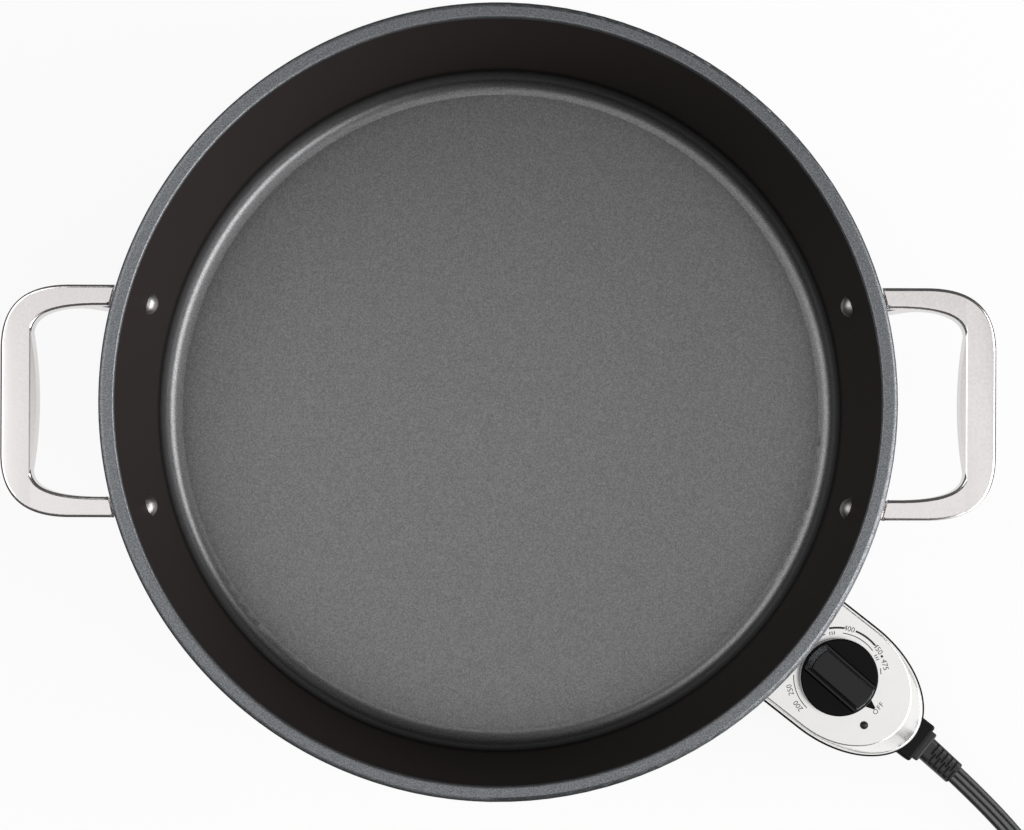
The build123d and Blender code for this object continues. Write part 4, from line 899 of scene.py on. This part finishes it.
class SKILLET_OT_control(bpy.types.Operator):
    """Finish the control's housing and knob, and print its dial"""

    bl_idname = "skillet.control"
    bl_label = "Control"

    def execute(self, context):
        sizes = context.scene.skillet_sizes
        colours = context.scene.skillet_colours
        cover = polished_steel("polished_pressed_cover", tuple(colours.cover), rough=0.22)
        finish(cover, "control_cover")
        tint = tuple(colours.phenolic)
        housing = moulded_plastic("moulded_phenolic_housing", tint, rough=0.45, relief=0.015, gloss=0.14)
        finish(housing, "control_base", "terminal_block")
        housing_seam(housing)
        finish(knob_gloss(colours), "control_knob")
        bezel = moulded_plastic("glossy_moulded_bezel", tuple(colours.gloss), rough=0.2, relief=0.004)
        finish(bezel, "lens_bezel")
        lens = plain_gloss("dark_smoked_acrylic_lens", "2B1918", rough=0.2, clear=0.3)
        finish(lens, "indicator_lens")
        relief = moulded_plastic("soft_pvc_strain_relief", tuple(colours.cord), rough=0.42, relief=0.01)
        finish(relief, "strain_relief")
        dial_marks(sizes, colours)
        return {"FINISHED"}


class SKILLET_OT_works(bpy.types.Operator):
    """Finish the thermostat and the other pieces inside the control"""

    bl_idname = "skillet.works"
    bl_label = "Thermostat"

    def execute(self, context):
        plated = plain_metal("zinc_plated_steel", "AEB0B2", rough=0.35)
        finish(plated, "housing_screws", "expansion_rod", "thermostat_frame")
        finish(plated, "pivot_pin", "adjuster_shaft", "shaft_clip")
        finish(plain_metal("drawn_stainless_probe", "C4C2BE", rough=0.24), "probe_tube")
        brass = plain_metal("stamped_brass", "C8A45E", rough=0.3)
        finish(brass, "female_terminals", "shaft_bushing", "contact_arm", "fixed_contact")
        finish(plain_gloss("glazed_steatite", "E9E4D8", rough=0.25), "ceramic_spacer", "adjuster_cam")
        finish(plain_gloss("neon_glass", "E8D8C8", rough=0.05, clear=0.7), "neon_lamp")
        silicone = moulded_plastic("silicone_wire_insulation", srgb("8C837A"), rough=0.5, relief=0.01)
        finish(silicone, "lead_wires")
        return {"FINISHED"}


class SKILLET_OT_cord(bpy.types.Operator):
    """Lay the flat cord with its coil and finish the plug"""

    bl_idname = "skillet.cord"
    bl_label = "Cord"

    def execute(self, context):
        sizes = context.scene.skillet_sizes
        colours = context.scene.skillet_colours
        pvc = moulded_plastic("extruded_pvc_cord", tuple(colours.cord), rough=0.4, relief=0.01)
        points = cord_route(sizes)
        line = mesh_of(cord_curve(points), "cord_line")
        curve = cord_curve(points)
        profile = cord_profile(sizes)
        curve.bevel_mode = "OBJECT"
        curve.bevel_object = profile
        curve.use_fill_caps = True
        mesh = mesh_of(curve, "flat_cord")
        bpy.data.objects.remove(profile)
        cord = piece_of(mesh, "flat_cord", pvc, "control")
        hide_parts("cord_lead", "cord_coil", "cord_tail")
        plug = moulded_plastic("moulded_pvc_plug", tuple(colours.cord), rough=0.45, relief=0.015)
        finish(plug, "plug_body", "cord_tie")
        brass = plain_metal("nickel_plated_brass_blades", "CFC6B0", rough=0.25)
        finish(brass, "plug_blades", "plug_ground_pin")
        return {"FINISHED"}


class SKILLET_OT_stage(bpy.types.Operator):
    """Set the floor, the soft studio light and the camera"""

    bl_idname = "skillet.stage"
    bl_label = "Studio"

    def execute(self, context):
        scene = context.scene
        bm = bmesh.new()
        bmesh.ops.create_circle(bm, cap_ends=True, segments=96, radius=FLOOR_RADIUS)
        mesh = bpy.data.meshes.new("studio_floor")
        bm.to_mesh(mesh)
        bm.free()
        mesh.materials.append(studio_floor(scene.skillet_colours))
        floor = bpy.data.objects.new("studio_floor", mesh)
        scene.collection.objects.link(floor)
        studio_world(scene)
        for settings in SOFTBOXES:
            softbox(*settings)
        scene.camera = top_camera()
        scene.view_settings.view_transform = "Standard"
        return {"FINISHED"}


class SKILLET_PT_looks(bpy.types.Panel):
    """Lists the skillet's settings and its pieces"""

    bl_idname = "SKILLET_PT_looks"
    bl_label = "Electric skillet"
    bl_space_type = "VIEW_3D"
    bl_region_type = "UI"
    bl_category = "Skillet"

    def draw(self, context):
        for settings in (context.scene.skillet_sizes, context.scene.skillet_colours):
            box = self.layout.box()
            for name in settings.bl_rna.properties.keys():
                if name not in ("rna_type", "name"):
                    box.prop(settings, name)
        for operator in OPERATORS:
            self.layout.operator(operator.bl_idname)


OPERATORS = (
    SKILLET_OT_pan,
    SKILLET_OT_handles,
    SKILLET_OT_underside,
    SKILLET_OT_control,
    SKILLET_OT_works,
    SKILLET_OT_cord,
    SKILLET_OT_stage,
)
CLASSES = (SkilletSizes, SkilletColours, *OPERATORS, SKILLET_PT_looks)


def register():
    """Add the settings, operators and panel."""
    for item in CLASSES:
        bpy.utils.register_class(item)
    bpy.types.Scene.skillet_sizes = PointerProperty(type=SkilletSizes)
    bpy.types.Scene.skillet_colours = PointerProperty(type=SkilletColours)


def unregister():
    """Take them away again."""
    del bpy.types.Scene.skillet_colours
    del bpy.types.Scene.skillet_sizes
    for item in reversed(CLASSES):
        bpy.utils.unregister_class(item)


def main():
    """Make every piece in order."""
    register()
    bpy.ops.skillet.stage()
    bpy.ops.skillet.cord()
    bpy.ops.skillet.pan()
    bpy.ops.skillet.handles()
    bpy.ops.skillet.underside()
    bpy.ops.skillet.control()
    bpy.ops.skillet.works()


if __name__ == "__main__":
    main()
